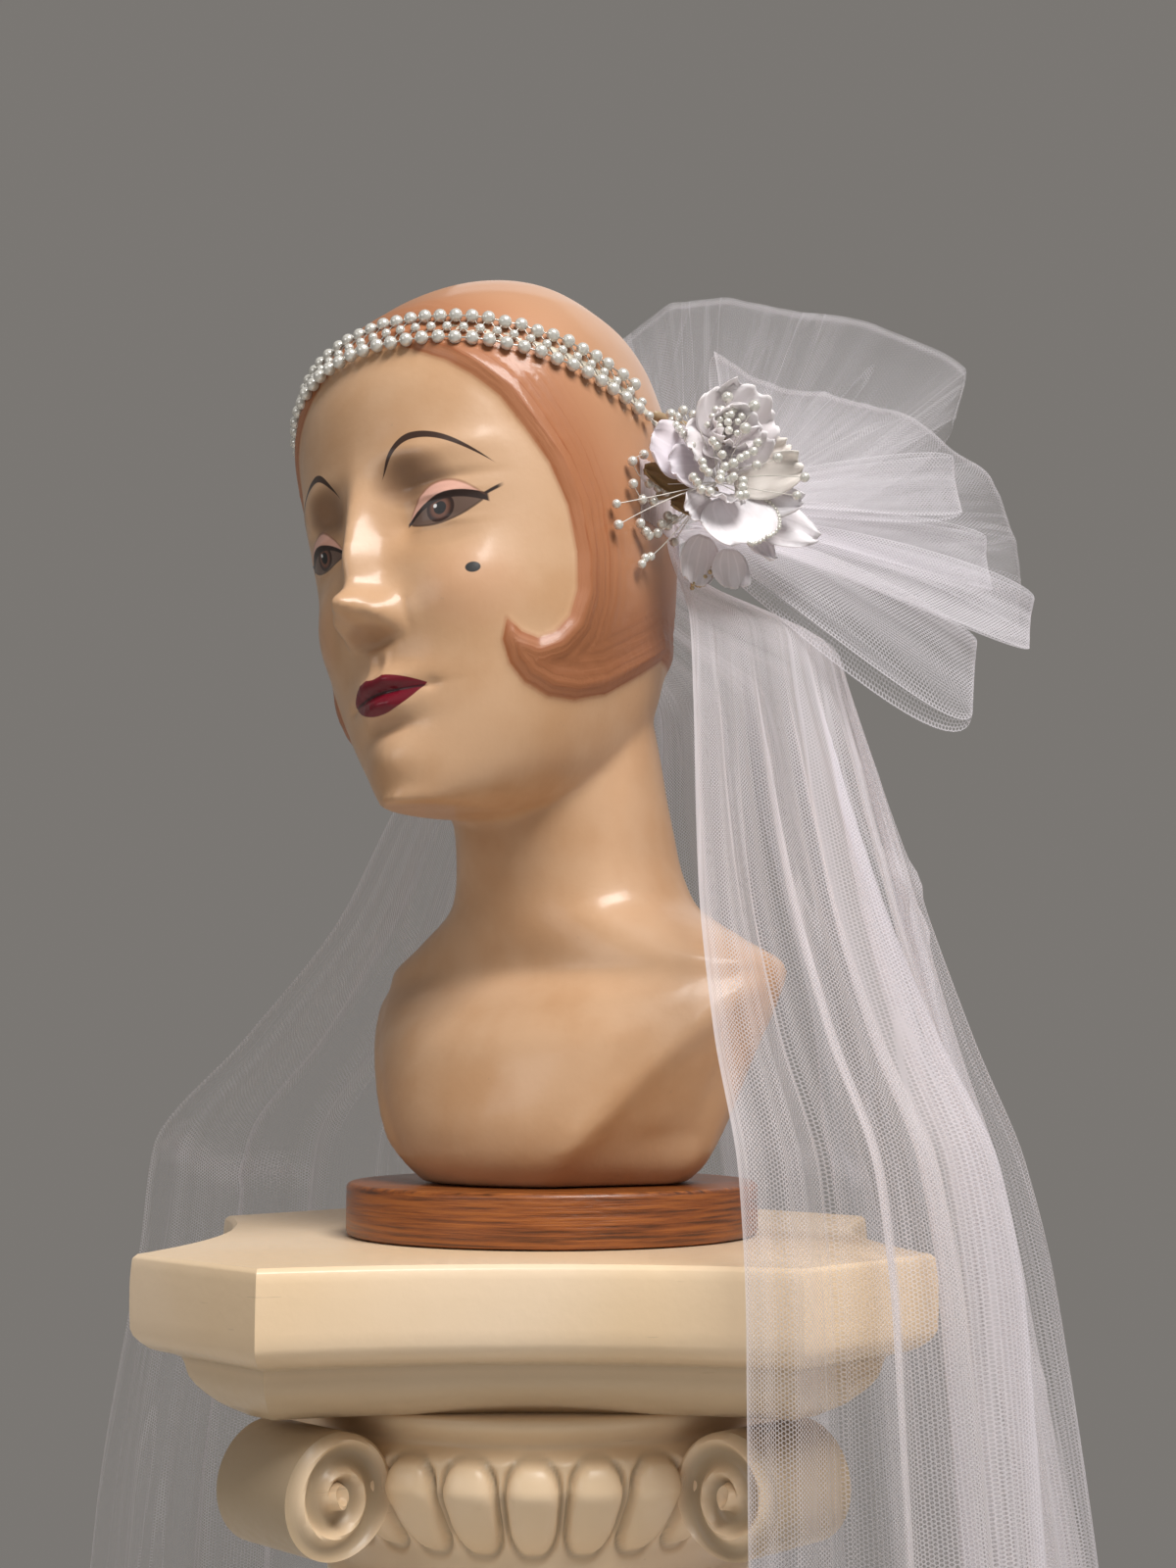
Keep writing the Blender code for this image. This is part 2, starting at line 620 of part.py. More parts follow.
def build_pedestal(plaster):
    """Abacus, capital with four corner scrolls, shaft and plinth."""
    rings = []
    for inset, drop in ABACUS_PROFILE:
        rings.append([(x, y, PEDESTAL_TOP - drop) for x, y in abacus_outline(inset)])
    loft("pedestal_abacus", plaster, rings)

    top = PEDESTAL_TOP - ABACUS_THICKNESS - SEAM_GAP
    bottom = top - CAPITAL_HEIGHT
    bell = turned("pedestal_capital", plaster, [
        (0.078, bottom), (0.086, bottom + 0.004), (0.086, bottom + 0.010), (0.081, bottom + 0.014),
        (0.084, bottom + 0.026), (0.098, bottom + 0.044), (0.106, bottom + 0.056),
        (0.106, bottom + 0.064), (0.098, bottom + 0.070), (0.102, top - 0.002), (0.101, top)])
    for corner in range(4):
        diagonal = math.pi / 4 + math.pi / 2 * corner
        rings = []
        for side, radius in ((-0.5, 0.85), (-0.42, 1.0), (0.42, 1.0), (0.5, 0.85)):
            ring = []
            for step in range(VOLUTE_STEPS):
                angle = 2 * math.pi * step / VOLUTE_STEPS
                reach = VOLUTE_REACH + VOLUTE_RADIUS * radius * math.cos(angle)
                offset = side * VOLUTE_WIDTH
                ring.append((reach * math.cos(diagonal) - offset * math.sin(diagonal),
                             reach * math.sin(diagonal) + offset * math.cos(diagonal),
                             PEDESTAL_TOP - VOLUTE_DROP + VOLUTE_RADIUS * radius * math.sin(angle)))
            rings.append(ring)
        scroll = loft(f"scroll_form_{corner + 1}", plaster, rings)
        scroll.hide_render = True
        scroll.display_type = "WIRE"
        join = bell.modifiers.new(f"join_scroll_{corner + 1}", "BOOLEAN")
        join.operation = "UNION"
        join.object = scroll

    shaft_top = bottom - SEAM_GAP
    shaft_bottom = PLINTH_HEIGHT + SEAM_GAP
    turned("pedestal_shaft", plaster, [
        (0.112, shaft_bottom), (0.118, shaft_bottom + 0.008), (0.118, shaft_bottom + 0.016),
        (0.111, shaft_bottom + 0.024), (0.098, shaft_bottom + 0.026), (0.094, shaft_bottom + 0.036),
        (0.091, shaft_bottom + 0.060), (0.086, 0.35), (0.078, shaft_top)])

    rings = []
    for inset, height in ((0.0, 0.0), (0.0, PLINTH_HEIGHT - 0.004), (0.004, PLINTH_HEIGHT)):
        half = PLINTH_HALF - inset
        corners = ((half, half), (-half, half), (-half, -half), (half, -half))
        rings.append([(x, y, height) for x, y in corners])
    loft("pedestal_plinth", plaster, rings)


def main():
    """Clear the scene and build every piece."""
    for old in list(bpy.data.objects):
        bpy.data.objects.remove(old, do_unlink=True)
    tulle = finish("tulle", (0.90, 0.87, 0.90), 0.75)
    pearl = finish("pearl", (0.83, 0.82, 0.78), 0.25)
    silk = finish("petal_silk", (0.92, 0.87, 0.85), 0.6)
    skin = finish("glossy_skin", (0.78, 0.66, 0.52), 0.18)
    wood = finish("stained_wood", (0.30, 0.12, 0.05), 0.4)
    plaster = finish("ivory_plaster", (0.82, 0.74, 0.60), 0.5)
    build_pedestal(plaster)
    build_foot(wood)
    build_display_head(skin)
    build_pearl_band(pearl)
    build_heading(tulle)
    build_veil(tulle)
    for layer in POUF_LAYERS:
        build_pouf_layer(layer, tulle)
    for flower in FLOWERS:
        build_flower(flower, silk)


main()
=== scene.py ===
"""Bridal veil of gathered tulle, with its pearl band and silk flowers, on a display head and pedestal.

Metres, +Z up, -Y is the front. The wearer's own frame has +X to the wearer's left, -Y where the
face looks, and heights above the pedestal's top.
"""

import math
from collections import namedtuple

import bmesh
import bpy
import numpy as np
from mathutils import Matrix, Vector


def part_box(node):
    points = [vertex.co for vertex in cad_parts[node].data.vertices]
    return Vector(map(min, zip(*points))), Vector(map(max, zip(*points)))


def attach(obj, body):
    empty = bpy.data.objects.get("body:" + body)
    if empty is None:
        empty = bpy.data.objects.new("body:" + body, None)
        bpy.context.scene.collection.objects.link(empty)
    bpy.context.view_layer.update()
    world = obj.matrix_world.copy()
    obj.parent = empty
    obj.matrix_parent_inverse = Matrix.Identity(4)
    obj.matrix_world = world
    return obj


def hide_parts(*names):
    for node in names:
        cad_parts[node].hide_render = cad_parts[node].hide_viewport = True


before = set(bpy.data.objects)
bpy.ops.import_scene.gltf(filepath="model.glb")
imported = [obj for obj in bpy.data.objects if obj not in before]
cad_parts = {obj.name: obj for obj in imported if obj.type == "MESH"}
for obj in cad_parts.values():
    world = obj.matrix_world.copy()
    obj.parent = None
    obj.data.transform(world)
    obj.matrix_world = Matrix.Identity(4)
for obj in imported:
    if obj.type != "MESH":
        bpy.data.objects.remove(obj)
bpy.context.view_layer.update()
VEIL_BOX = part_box("veil")

bl_info = {
    "name": "Bridal veil on a display head",
    "version": (1, 0, 0),
    "blender": (4, 5, 0),
    "location": "View3D > Sidebar > Bridal Veil",
    "description": "Dresses the packed veil, headpiece, head and pedestal with their visible surfaces",
    "category": "Add Mesh",
}

SEAM_GAP = 0.0003

# Stance of the display head
PEDESTAL_TOP = 0.75
HEAD_X = 0.012
HEAD_Y = 0.004
HEAD_TURN = math.radians(-38.0)
HEAD_LEAN = math.radians(9.0)
LEAN_PIVOT = 0.19
LEAN_START = 0.15
LEAN_END = 0.21

Girth = namedtuple("Girth", "height half_width front back centre")
BUST = [
    Girth(0.0218, 0.058, 0.056, 0.046, -0.008),
    Girth(0.030, 0.068, 0.063, 0.050, -0.008),
    Girth(0.050, 0.079, 0.068, 0.054, -0.006),
    Girth(0.075, 0.090, 0.066, 0.052, -0.002),
    Girth(0.095, 0.099, 0.058, 0.044, 0.004),
    Girth(0.108, 0.102, 0.050, 0.040, 0.008),
    Girth(0.122, 0.080, 0.050, 0.042, 0.006),
    Girth(0.138, 0.055, 0.050, 0.044, 0.004),
    Girth(0.160, 0.047, 0.052, 0.045, 0.000),
    Girth(0.185, 0.044, 0.054, 0.046, -0.006),
    Girth(0.215, 0.044, 0.054, 0.048, -0.010),
]
HEAD = [
    Girth(0.170, 0.018, 0.036, 0.026, -0.078),
    Girth(0.176, 0.032, 0.048, 0.048, -0.062),
    Girth(0.190, 0.046, 0.060, 0.068, -0.050),
    Girth(0.212, 0.057, 0.066, 0.082, -0.046),
    Girth(0.242, 0.065, 0.070, 0.094, -0.044),
    Girth(0.275, 0.070, 0.072, 0.101, -0.042),
    Girth(0.305, 0.073, 0.076, 0.104, -0.040),
    Girth(0.335, 0.074, 0.078, 0.104, -0.038),
    Girth(0.362, 0.070, 0.072, 0.098, -0.036),
    Girth(0.386, 0.058, 0.058, 0.084, -0.030),
    Girth(0.402, 0.042, 0.041, 0.063, -0.024),
    Girth(0.411, 0.021, 0.022, 0.036, -0.020),
    Girth(0.413, 0.006, 0.006, 0.010, -0.018),
]

# Forms of the face: each is a mound or hollow pushed forward at a place on it
Form = namedtuple("Form", "aside height half_width half_height push")
FACE = [
    Form(0.000, 0.284, 0.007, 0.017, 0.007),
    Form(0.000, 0.264, 0.008, 0.014, 0.010),
    Form(0.000, 0.247, 0.010, 0.008, 0.017),
    Form(0.011, 0.244, 0.006, 0.006, 0.006),
    Form(0.030, 0.283, 0.015, 0.011, -0.006),
    Form(0.036, 0.250, 0.018, 0.016, 0.003),
    Form(0.000, 0.2185, 0.017, 0.0045, 0.006),
    Form(0.000, 0.2085, 0.014, 0.0045, 0.006),
    Form(0.000, 0.187, 0.016, 0.010, 0.006),
]
FINE_FACE = [
    Form(0.0335, 0.2840, 0.0125, 0.0085, 0.0036),
    Form(0.0340, 0.2955, 0.0150, 0.0022, -0.0016),
    Form(0.0335, 0.2895, 0.0130, 0.0012, 0.0009),
    Form(0.0330, 0.2775, 0.0120, 0.0012, 0.0006),
    Form(0.0320, 0.3080, 0.0200, 0.0055, 0.0018),
    Form(0.0185, 0.2960, 0.0080, 0.0100, -0.0036),
    Form(0.0175, 0.2790, 0.0050, 0.0070, -0.0022),
    Form(0.0000, 0.2680, 0.0050, 0.0220, 0.0026),
    Form(0.0000, 0.2480, 0.0065, 0.0055, 0.0026),
    Form(0.0430, 0.2500, 0.0170, 0.0150, 0.0016),
    Form(0.0105, 0.2420, 0.0040, 0.0050, 0.0026),
    Form(0.0165, 0.2440, 0.0022, 0.0065, -0.0014),
    Form(0.0000, 0.2350, 0.0090, 0.0030, -0.0040),
    Form(0.0000, 0.2265, 0.0022, 0.0045, -0.0009),
    Form(0.0042, 0.2265, 0.0018, 0.0050, 0.0006),
    Form(0.0000, 0.2135, 0.0185, 0.0012, -0.0018),
    Form(0.0210, 0.2135, 0.0030, 0.0024, -0.0012),
    Form(0.0000, 0.2085, 0.0110, 0.0030, 0.0014),
    Form(0.0060, 0.2178, 0.0060, 0.0022, 0.0012),
    Form(0.0000, 0.2000, 0.0120, 0.0036, -0.0024),
]

# Remeshing of the head, and the height below which it has no hair
SKIN_VOXEL = 0.0024
HAIR_LOW = 0.19

# Places painted on the face
EYE_ASIDE = 0.0335
EYE_HEIGHT = 0.2828
EYE_HALF_WIDTH = 0.0152
EYE_HALF_OPENING = 0.0051
IRIS_ASIDE = 0.0325
MOUTH_HEIGHT = 0.2137
MOUTH_HALF_WIDTH = 0.0215
SPOT_ASIDE = 0.0430
SPOT_HEIGHT = 0.2560

# Edge of the moulded hair on the wearer's left, from under the band to the curl and the nape
HAIR_SCALE = 0.072
Edge = namedtuple("Edge", "angle height")
HAIR_EDGE = [
    Edge(-90.0, 0.362), Edge(-72.0, 0.357), Edge(-56.0, 0.345), Edge(-48.0, 0.337), Edge(-40.0, 0.327),
    Edge(-34.0, 0.315), Edge(-26.0, 0.299), Edge(-20.0, 0.282), Edge(-16.5, 0.263), Edge(-16.0, 0.248),
    Edge(-18.5, 0.237), Edge(-24.0, 0.2300), Edge(-30.0, 0.2275), Edge(-36.0, 0.2300), Edge(-41.0, 0.2355),
    Edge(-42.5, 0.2270), Edge(-40.0, 0.2180), Edge(-34.0, 0.2105), Edge(-24.0, 0.2055), Edge(-12.0, 0.2050),
    Edge(2.0, 0.2090), Edge(14.0, 0.2180), Edge(32.0, 0.2320), Edge(55.0, 0.2350), Edge(90.0, 0.2300),
    Edge(90.0, 0.460), Edge(-90.0, 0.460),
]

# Veil
TULLE = 0.0012
HEADING_CLEARANCE = 0.0009
HEADING_START = 10.0
HEADING_END = 130.0
HEADING_TOP = 0.313
HEADING_BOTTOM = 0.285
GATHER_START = 27.0
GATHER_DEPTH = 0.0006
VEIL_SEAM = 0.0008
FALL_BLEND = 0.042
FALL_FLARE = 0.12
FOLD_GROWTH = 0.34
FOLD_DEPTH = 0.0085
RIGHT_AZIMUTH = 12.0
BACK_AZIMUTH = 80.0
HEM_HEIGHT = 0.14

Level = namedtuple("Level", "height front_x front_y right back left_x left_y")
VEIL_LEVELS = [
    Level(0.140, 0.079, -0.175, 0.262, 0.290, -0.250, 0.182),
    Level(0.400, 0.078, -0.174, 0.248, 0.282, -0.242, 0.176),
    Level(0.600, 0.077, -0.173, 0.224, 0.268, -0.231, 0.170),
    Level(0.730, 0.077, -0.172, 0.200, 0.246, -0.209, 0.160),
    Level(0.780, 0.075, -0.166, 0.189, 0.230, -0.200, 0.150),
    Level(0.833, 0.068, -0.132, 0.178, 0.202, -0.152, 0.138),
    Level(0.890, 0.064, -0.096, 0.164, 0.174, -0.102, 0.115),
    Level(0.940, 0.063, -0.074, 0.149, 0.150, -0.075, 0.102),
    Level(0.985, 0.063, -0.054, 0.137, 0.128, -0.048, 0.092),
    Level(1.050, 0.060, -0.030, 0.122, 0.106, -0.030, 0.080),
]
# The hanging folds from the front edge to the far one: how much cloth, how high, how far each
# leans over, how strongly its creases show and how many layers of net it looks like
Fold = namedtuple("Fold", "share crest lean crease layers")
FOLDS = [
    Fold(1.30, 0.45, 0.1, 0.10, 0.75), Fold(0.80, 0.80, 0.7, 0.45, 0.85), Fold(1.10, 0.70, 0.8, 0.35, 1.10),
    Fold(0.75, 1.15, 1.5, 0.90, 1.55), Fold(1.25, 0.80, 0.7, 0.40, 1.10), Fold(0.90, 1.30, 1.4, 0.80, 0.70),
    Fold(0.80, 0.75, 1.2, 0.60, 1.05), Fold(1.20, 1.10, 1.6, 0.95, 0.90), Fold(0.95, 0.90, 1.2, 0.60, 0.60),
    Fold(0.75, 1.25, 1.0, 0.70, 1.20), Fold(1.15, 0.80, 0.6, 0.30, 0.65), Fold(1.00, 1.20, 1.2, 0.60, 0.95),
    Fold(0.80, 0.95, 0.9, 0.40, 0.60), Fold(1.25, 0.75, 0.7, 0.50, 1.00), Fold(0.85, 1.20, 1.3, 0.70, 0.70),
    Fold(1.10, 1.00, 1.0, 0.40, 0.80), Fold(0.95, 0.80, 0.8, 0.50, 0.55), Fold(0.80, 1.15, 1.2, 0.80, 0.85),
    Fold(1.20, 0.70, 0.6, 0.30, 0.50), Fold(1.00, 1.05, 1.1, 0.70, 0.65), Fold(0.90, 0.90, 0.8, 0.35, 0.45),
    Fold(1.35, 0.60, 0.2, 0.20, 0.45),
]
FOLD_CREASE_WIDTH = 0.034
HEXAGON_RISE = 0.866
FOLD_STEPS = 30
VEIL_ROWS = 142
MOST_DRAWN_IN = 2.4
LEAST_FULL = 0.40
MOST_FULL = 3.3
# Smaller ripples that run down the cloth between the folds
Ripple = namedtuple("Ripple", "count depth phase drift")
RIPPLES = [
    Ripple(41, 0.0012, 0.3, 0.8), Ripple(67, 0.0009, 1.9, -1.3), Ripple(103, 0.0006, 4.1, 1.7),
]
# Soft creases that cross the folds
Crease = namedtuple("Crease", "share_from height_from share_to height_to width depth")
CROSS_CREASES = [
    Crease(1.00, 0.782, 0.89, 0.758, 0.0062, 0.0034),
    Crease(0.93, 0.905, 0.86, 0.835, 0.0050, 0.0024),
    Crease(0.22, 0.905, 0.42, 0.835, 0.0060, 0.0022),
    Crease(0.30, 0.700, 0.44, 0.640, 0.0060, 0.0022),
    Crease(0.10, 1.020, 0.26, 0.990, 0.0040, 0.0016),
    Crease(0.50, 0.760, 0.66, 0.800, 0.0060, 0.0022),
    Crease(0.62, 0.520, 0.78, 0.470, 0.0070, 0.0024),
    Crease(0.08, 0.440, 0.24, 0.400, 0.0070, 0.0020),
]

Rim = namedtuple("Rim", "x y z")
POUF_TOP_RIM = [
    Rim(0.038, 0.094, 1.172), Rim(0.066, 0.094, 1.196), Rim(0.100, 0.094, 1.194),
    Rim(0.133, 0.092, 1.188), Rim(0.168, 0.090, 1.179), Rim(0.205, 0.086, 1.157), Rim(0.197, 0.080, 1.128),
]
POUF_MIDDLE_RIM = [
    Rim(0.079, 0.046, 1.149), Rim(0.122, 0.044, 1.131), Rim(0.155, 0.040, 1.123),
    Rim(0.186, 0.036, 1.105), Rim(0.205, 0.034, 1.084), Rim(0.216, 0.032, 1.054), Rim(0.215, 0.030, 1.014),
]
Layer = namedtuple(
    "Layer", "name rim front_from front_to rear_from rear_to height spring puff pleats pleat_depth cut "
    "layers belly sag")
POUF_LAYERS = [
    Layer("pouf_top", POUF_TOP_RIM, 80.0, 62.0, 100.0, 84.0, 0.306, 0.045, 0.030, 3.3, 0.0022, 0.30,
          0.43, 0.10, 0.0),
    Layer("pouf_middle", POUF_MIDDLE_RIM, 48.0, 38.0, 58.0, 52.0, 0.304, 0.040, 0.014, 4.6, 0.0020, 0.34,
          0.38, 0.08, 0.0),
    Layer("pouf_loop_1", [Rim(0.181, -0.004, 1.084), Rim(0.184, -0.006, 1.060)],
          33.0, 30.0, 36.0, 33.5, 0.3045, 0.030, 0.006, 1, 0.0012, 0.045, 0.54, 0.45, 0.05),
    Layer("pouf_loop_2", [Rim(0.196, 0.004, 1.050), Rim(0.198, 0.002, 1.027)],
          34.0, 31.0, 37.0, 34.5, 0.2985, 0.030, 0.006, 1, 0.0012, 0.045, 0.58, 0.45, 0.00),
    Layer("pouf_loop_3", [Rim(0.215, -0.002, 1.021), Rim(0.212, -0.004, 0.999)],
          35.0, 32.0, 38.0, 35.5, 0.2935, 0.034, 0.006, 1, 0.0012, 0.045, 1.15, 0.70, -0.10),
    Layer("pouf_tail", [Rim(0.184, -0.030, 0.996), Rim(0.181, -0.032, 0.966)],
          31.0, 27.5, 33.5, 30.5, 0.2885, 0.040, 0.004, 1, 0.0012, 0.055, 0.80, 0.30, 0.44),
]
LAYER_STAND_OFF = 0.0008
POUF_COVER = 0.92
TUFT_REACH = 0.030

# Pearl band
BAND_SIDE_HEIGHT = 0.342
BAND_RISE = 0.020
BAND_BOW = 0.003
PEARL_START = -195.0
PEARL_END = 12.0
PEARL_COUNT = 40


def srgb(red, green, blue):
    """A colour seen on screen, as light."""
    return tuple(c / 12.92 if c <= 0.04045 else ((c + 0.055) / 1.055) ** 2.4 for c in (red, green, blue))


def ease(low, high, value):
    """0 below low, 1 above high, smooth between."""
    share = np.clip((value - low) / (high - low), 0.0, 1.0)
    return share * share * (3 - 2 * share)


def curve_through(places, values, at):
    """A smooth curve through known values, with no overshoot, read at any number of places."""
    at = np.asarray(at, dtype=float)
    places = np.stack([np.broadcast_to(place, at.shape) for place in places]).astype(float)
    values = np.stack([np.broadcast_to(value, at.shape) for value in values]).astype(float)
    widths = np.diff(places, axis=0)
    slopes = np.diff(values, axis=0) / widths
    product = slopes[:-1] * slopes[1:]
    total = slopes[:-1] + slopes[1:]
    inner = np.where(product > 0, 2 * product / np.where(product > 0, total, 1.0), 0.0)
    tangents = np.concatenate([slopes[:1], inner, slopes[-1:]])
    index = np.clip((places[1:-1] <= at).sum(axis=0), 0, len(widths) - 1)[None]
    after = index + 1

    def pick(table, which):
        return np.take_along_axis(table, which, axis=0)[0]

    width = pick(widths, index)
    t = np.clip((at - pick(places, index)) / width, 0.0, 1.0)
    start = pick(values, index) * (1 + 2 * t) + width * pick(tangents, index) * t
    end = pick(values, after) * (3 - 2 * t) - width * pick(tangents, after) * (1 - t)
    return start * (1 - t) ** 2 + end * t ** 2


def read_rows(rows, heights):
    """The rows of a table worked out at any heights."""
    places = [row.height for row in rows]
    return type(rows[0])(*(curve_through(places, values, heights) for values in zip(*rows)))


def to_world(x, y, height):
    """Points of the wearer's frame, with the head's lean, in world coordinates."""
    lean = -HEAD_LEAN * ease(LEAN_START, LEAN_END, height)
    rise = height - LEAN_PIVOT
    leaned_x = x * np.cos(lean) + rise * np.sin(lean)
    leaned_height = LEAN_PIVOT - x * np.sin(lean) + rise * np.cos(lean)
    world_x = HEAD_X + leaned_x * math.cos(HEAD_TURN) - y * math.sin(HEAD_TURN)
    world_y = HEAD_Y + leaned_x * math.sin(HEAD_TURN) + y * math.cos(HEAD_TURN)
    return np.stack(np.broadcast_arrays(world_x, world_y, PEDESTAL_TOP + leaned_height), axis=-1)


def to_wearer(points):
    """World points in the wearer's frame, the way back of to_world."""
    across = points[:, 0] - HEAD_X
    deep = points[:, 1] - HEAD_Y
    leaned_x = across * math.cos(HEAD_TURN) + deep * math.sin(HEAD_TURN)
    y = deep * math.cos(HEAD_TURN) - across * math.sin(HEAD_TURN)
    leaned_rise = points[:, 2] - PEDESTAL_TOP - LEAN_PIVOT
    height = leaned_rise + LEAN_PIVOT
    for step in range(8):
        lean = -HEAD_LEAN * ease(LEAN_START, LEAN_END, height)
        x = leaned_x * np.cos(lean) - leaned_rise * np.sin(lean)
        height = LEAN_PIVOT + leaned_x * np.sin(lean) + leaned_rise * np.cos(lean)
    return x, y, height


def girth_point(girth, degrees, out=0.0):
    """Points of oval sections, moved out along their normals."""
    cosine = np.cos(np.radians(degrees))
    sine = np.sin(np.radians(degrees))
    depth = np.where(sine > 0, girth.back, girth.front)
    normal_x = cosine / girth.half_width
    normal_y = sine / depth
    length = np.hypot(normal_x, normal_y)
    return (girth.half_width * cosine + out * normal_x / length,
            girth.centre + depth * sine + out * normal_y / length)


def on_head(degrees, height, out=0.0):
    """World points on the head's side at angles from the wearer's left, moved out."""
    degrees, height = np.broadcast_arrays(np.asarray(degrees, float), np.asarray(height, float))
    x, y = girth_point(read_rows(HEAD, height), degrees, out)
    return to_world(x, y, height)


def form_push(forms, x, height):
    """How far a table of forms stands forward at places on the face."""
    push = np.zeros(np.broadcast(x, height).shape)
    for form in forms:
        for side in {form.aside, -form.aside}:
            across = (x - side) / form.half_width
            upward = (height - form.height) / form.half_height
            push += form.push * np.exp(-across * across - upward * upward)
    return push


class Link:
    """A socket of a finish's nodes that takes part in Python expressions."""

    def __init__(self, finish, socket):
        self.finish = finish
        self.socket = socket

    def maths(self, operation, *values):
        """One Math node."""
        return self.finish.node("Math", {"operation": operation}, dict(enumerate(values)))

    def __add__(self, other):
        return self.maths("ADD", self, other)

    def __radd__(self, other):
        return self.maths("ADD", other, self)

    def __sub__(self, other):
        return self.maths("SUBTRACT", self, other)

    def __rsub__(self, other):
        return self.maths("SUBTRACT", other, self)

    def __mul__(self, other):
        return self.maths("MULTIPLY", self, other)

    def __rmul__(self, other):
        return self.maths("MULTIPLY", other, self)

    def __truediv__(self, other):
        return self.maths("DIVIDE", self, other)

    def __rtruediv__(self, other):
        return self.maths("DIVIDE", other, self)

    def __pow__(self, other):
        return self.maths("POWER", self, other)

    def __rpow__(self, other):
        return self.maths("POWER", other, self)

    def __neg__(self):
        return self.maths("MULTIPLY", self, -1.0)

    def __abs__(self):
        return self.maths("ABSOLUTE", self)

    def cosine(self):
        """The cosine of an angle in radians."""
        return self.maths("COSINE", self)

    def least(self, other):
        """The smaller of two values."""
        return self.maths("MINIMUM", self, other)

    def most(self, other):
        """The larger of two values."""
        return self.maths("MAXIMUM", self, other)

    def step(self, low, high, start=0.0, end=1.0):
        """start below low, end above high, smooth between; low may be the larger."""
        return self.finish.node(
            "MapRange", {"interpolation_type": "SMOOTHSTEP"},
            {"Value": self, "From Min": low, "From Max": high, "To Min": start, "To Max": end})

    def other(self, name):
        """Another output of the same node."""
        return Link(self.finish, self.socket.node.outputs[name])


class Finish:
    """A material and the nodes that paint it."""

    def __init__(self, name, colour):
        self.material = bpy.data.materials.new(name)
        self.material.use_nodes = True
        self.material.diffuse_color = (*colour[:3], 1.0)
        self.tree = self.material.node_tree
        self.tree.nodes.clear()

    def node(self, kind, settings=(), values=(), out=0):
        """One node of a kind, its settings set first, then its sockets, given back as a Link."""
        made = self.tree.nodes.new("ShaderNode" + kind)
        for name, setting in dict(settings).items():
            if name == "stops":
                self.set_stops(made.color_ramp, setting)
            else:
                setattr(made, name, setting)
        for key, value in dict(values).items():
            socket = made.inputs[key]
            if isinstance(value, Link):
                self.tree.links.new(value.socket, socket)
            elif socket.type == "RGBA":
                socket.default_value = (*value[:3], 1.0)
            else:
                socket.default_value = value
        return Link(self, made.outputs[out]) if made.outputs else None

    def set_stops(self, ramp, stops):
        """Places and colours of a ramp."""
        while len(ramp.elements) < len(stops):
            ramp.elements.new(0.5)
        for element, (place, colour) in zip(ramp.elements, stops):
            element.position = place
            element.color = (*colour[:3], 1.0)

    def mix(self, factor, first, second, blend="MIX"):
        """Two colours mixed."""
        return self.node("Mix", {"data_type": "RGBA", "blend_type": blend},
                         {0: factor, 6: first, 7: second}, out=2)

    def vector(self, operation, first, second):
        """One Vector Math node."""
        return self.node("VectorMath", {"operation": operation}, {0: first, 1: second})

    def attribute(self, name, out="Fac"):
        """A value kept on the mesh."""
        return self.node("Attribute", {"attribute_name": name}, out=out)

    def parts(self, vector):
        """The three numbers of a vector."""
        x = self.node("SeparateXYZ", values={0: vector})
        return x, x.other("Y"), x.other("Z")

    def noise(self, place, scale, detail=3.0, roughness=0.5):
        """Smooth noise from 0 to 1."""
        return self.node("TexNoise", values={
            "Vector": place, "Scale": scale, "Detail": detail, "Roughness": roughness})

    def bump(self, height, distance, strength=1.0):
        """A normal that follows a height."""
        return self.node("Bump", values={"Height": height, "Distance": distance, "Strength": strength})

    def surface(self, shader):
        """The last step: what the material shows."""
        self.node("OutputMaterial", values={"Surface": shader})
        return self.material


def net_finish(name, settings, cover=1.0, tint=None):
    """White hexagonal net: open holes, denser where the cloth is gathered or creased."""
    tint = tint or tuple(settings.tulle_colour)
    paint = Finish(name, tint)
    x, y = paint.parts(paint.node("UVMap", {"uv_map": "cloth"}))[:2]
    wave = 2 * math.pi / (settings.net_pitch * math.sqrt(3) / 2)
    along, upward = x * (wave / 2), y * (wave * HEXAGON_RISE)
    lattice = (x * wave).cosine() + (along + upward).cosine() + (along - upward).cosine()
    thread = lattice.step(0.4, -0.9)
    average = settings.net_cover * cover
    net = thread * (average * 1.9) + average * 0.12
    fullness = paint.attribute("fullness")
    crease = paint.attribute("crease")
    streak = paint.node("CombineXYZ", values={"X": x * 95.0, "Y": y * 2.6})
    streaks = paint.noise(streak, 1.0, 3.0, 0.6).step(0.32, 0.72, 0.82, 1.28)
    wander = paint.node("CombineXYZ", values={"X": x * 24.0, "Y": y * 1.5, "Z": 4.0})
    lines = abs(paint.noise(wander, 1.0, 2.0, 0.55) - 0.5).step(0.009, 0.002)
    layers = fullness * streaks + crease * 1.5 + lines * (fullness * 0.35 + 0.30)
    blur = layers.step(1.6, 5.0)
    single = net * (1.0 - blur) + average * blur
    opacity = (1.0 - (1.0 - single) ** layers).least(0.985)
    shade = paint.noise(paint.node("TexCoord", out="Object"), 9.0, 2.0)
    colour = paint.mix(shade, tint, tuple(0.94 * c for c in tint))
    cloth = paint.node("BsdfPrincipled", values={
        "Base Color": colour, "Roughness": 0.72, "Sheen Weight": 0.45, "Sheen Roughness": 0.4,
        "Specular IOR Level": 0.25})
    glow = paint.node("BsdfTranslucent", values={"Color": tuple(0.97 * c for c in tint)})
    lit = paint.node("MixShader", values={0: 0.42, 1: cloth, 2: glow})
    clear = paint.node("BsdfTransparent")
    return paint.surface(paint.node("MixShader", values={0: opacity, 1: clear, 2: lit}))


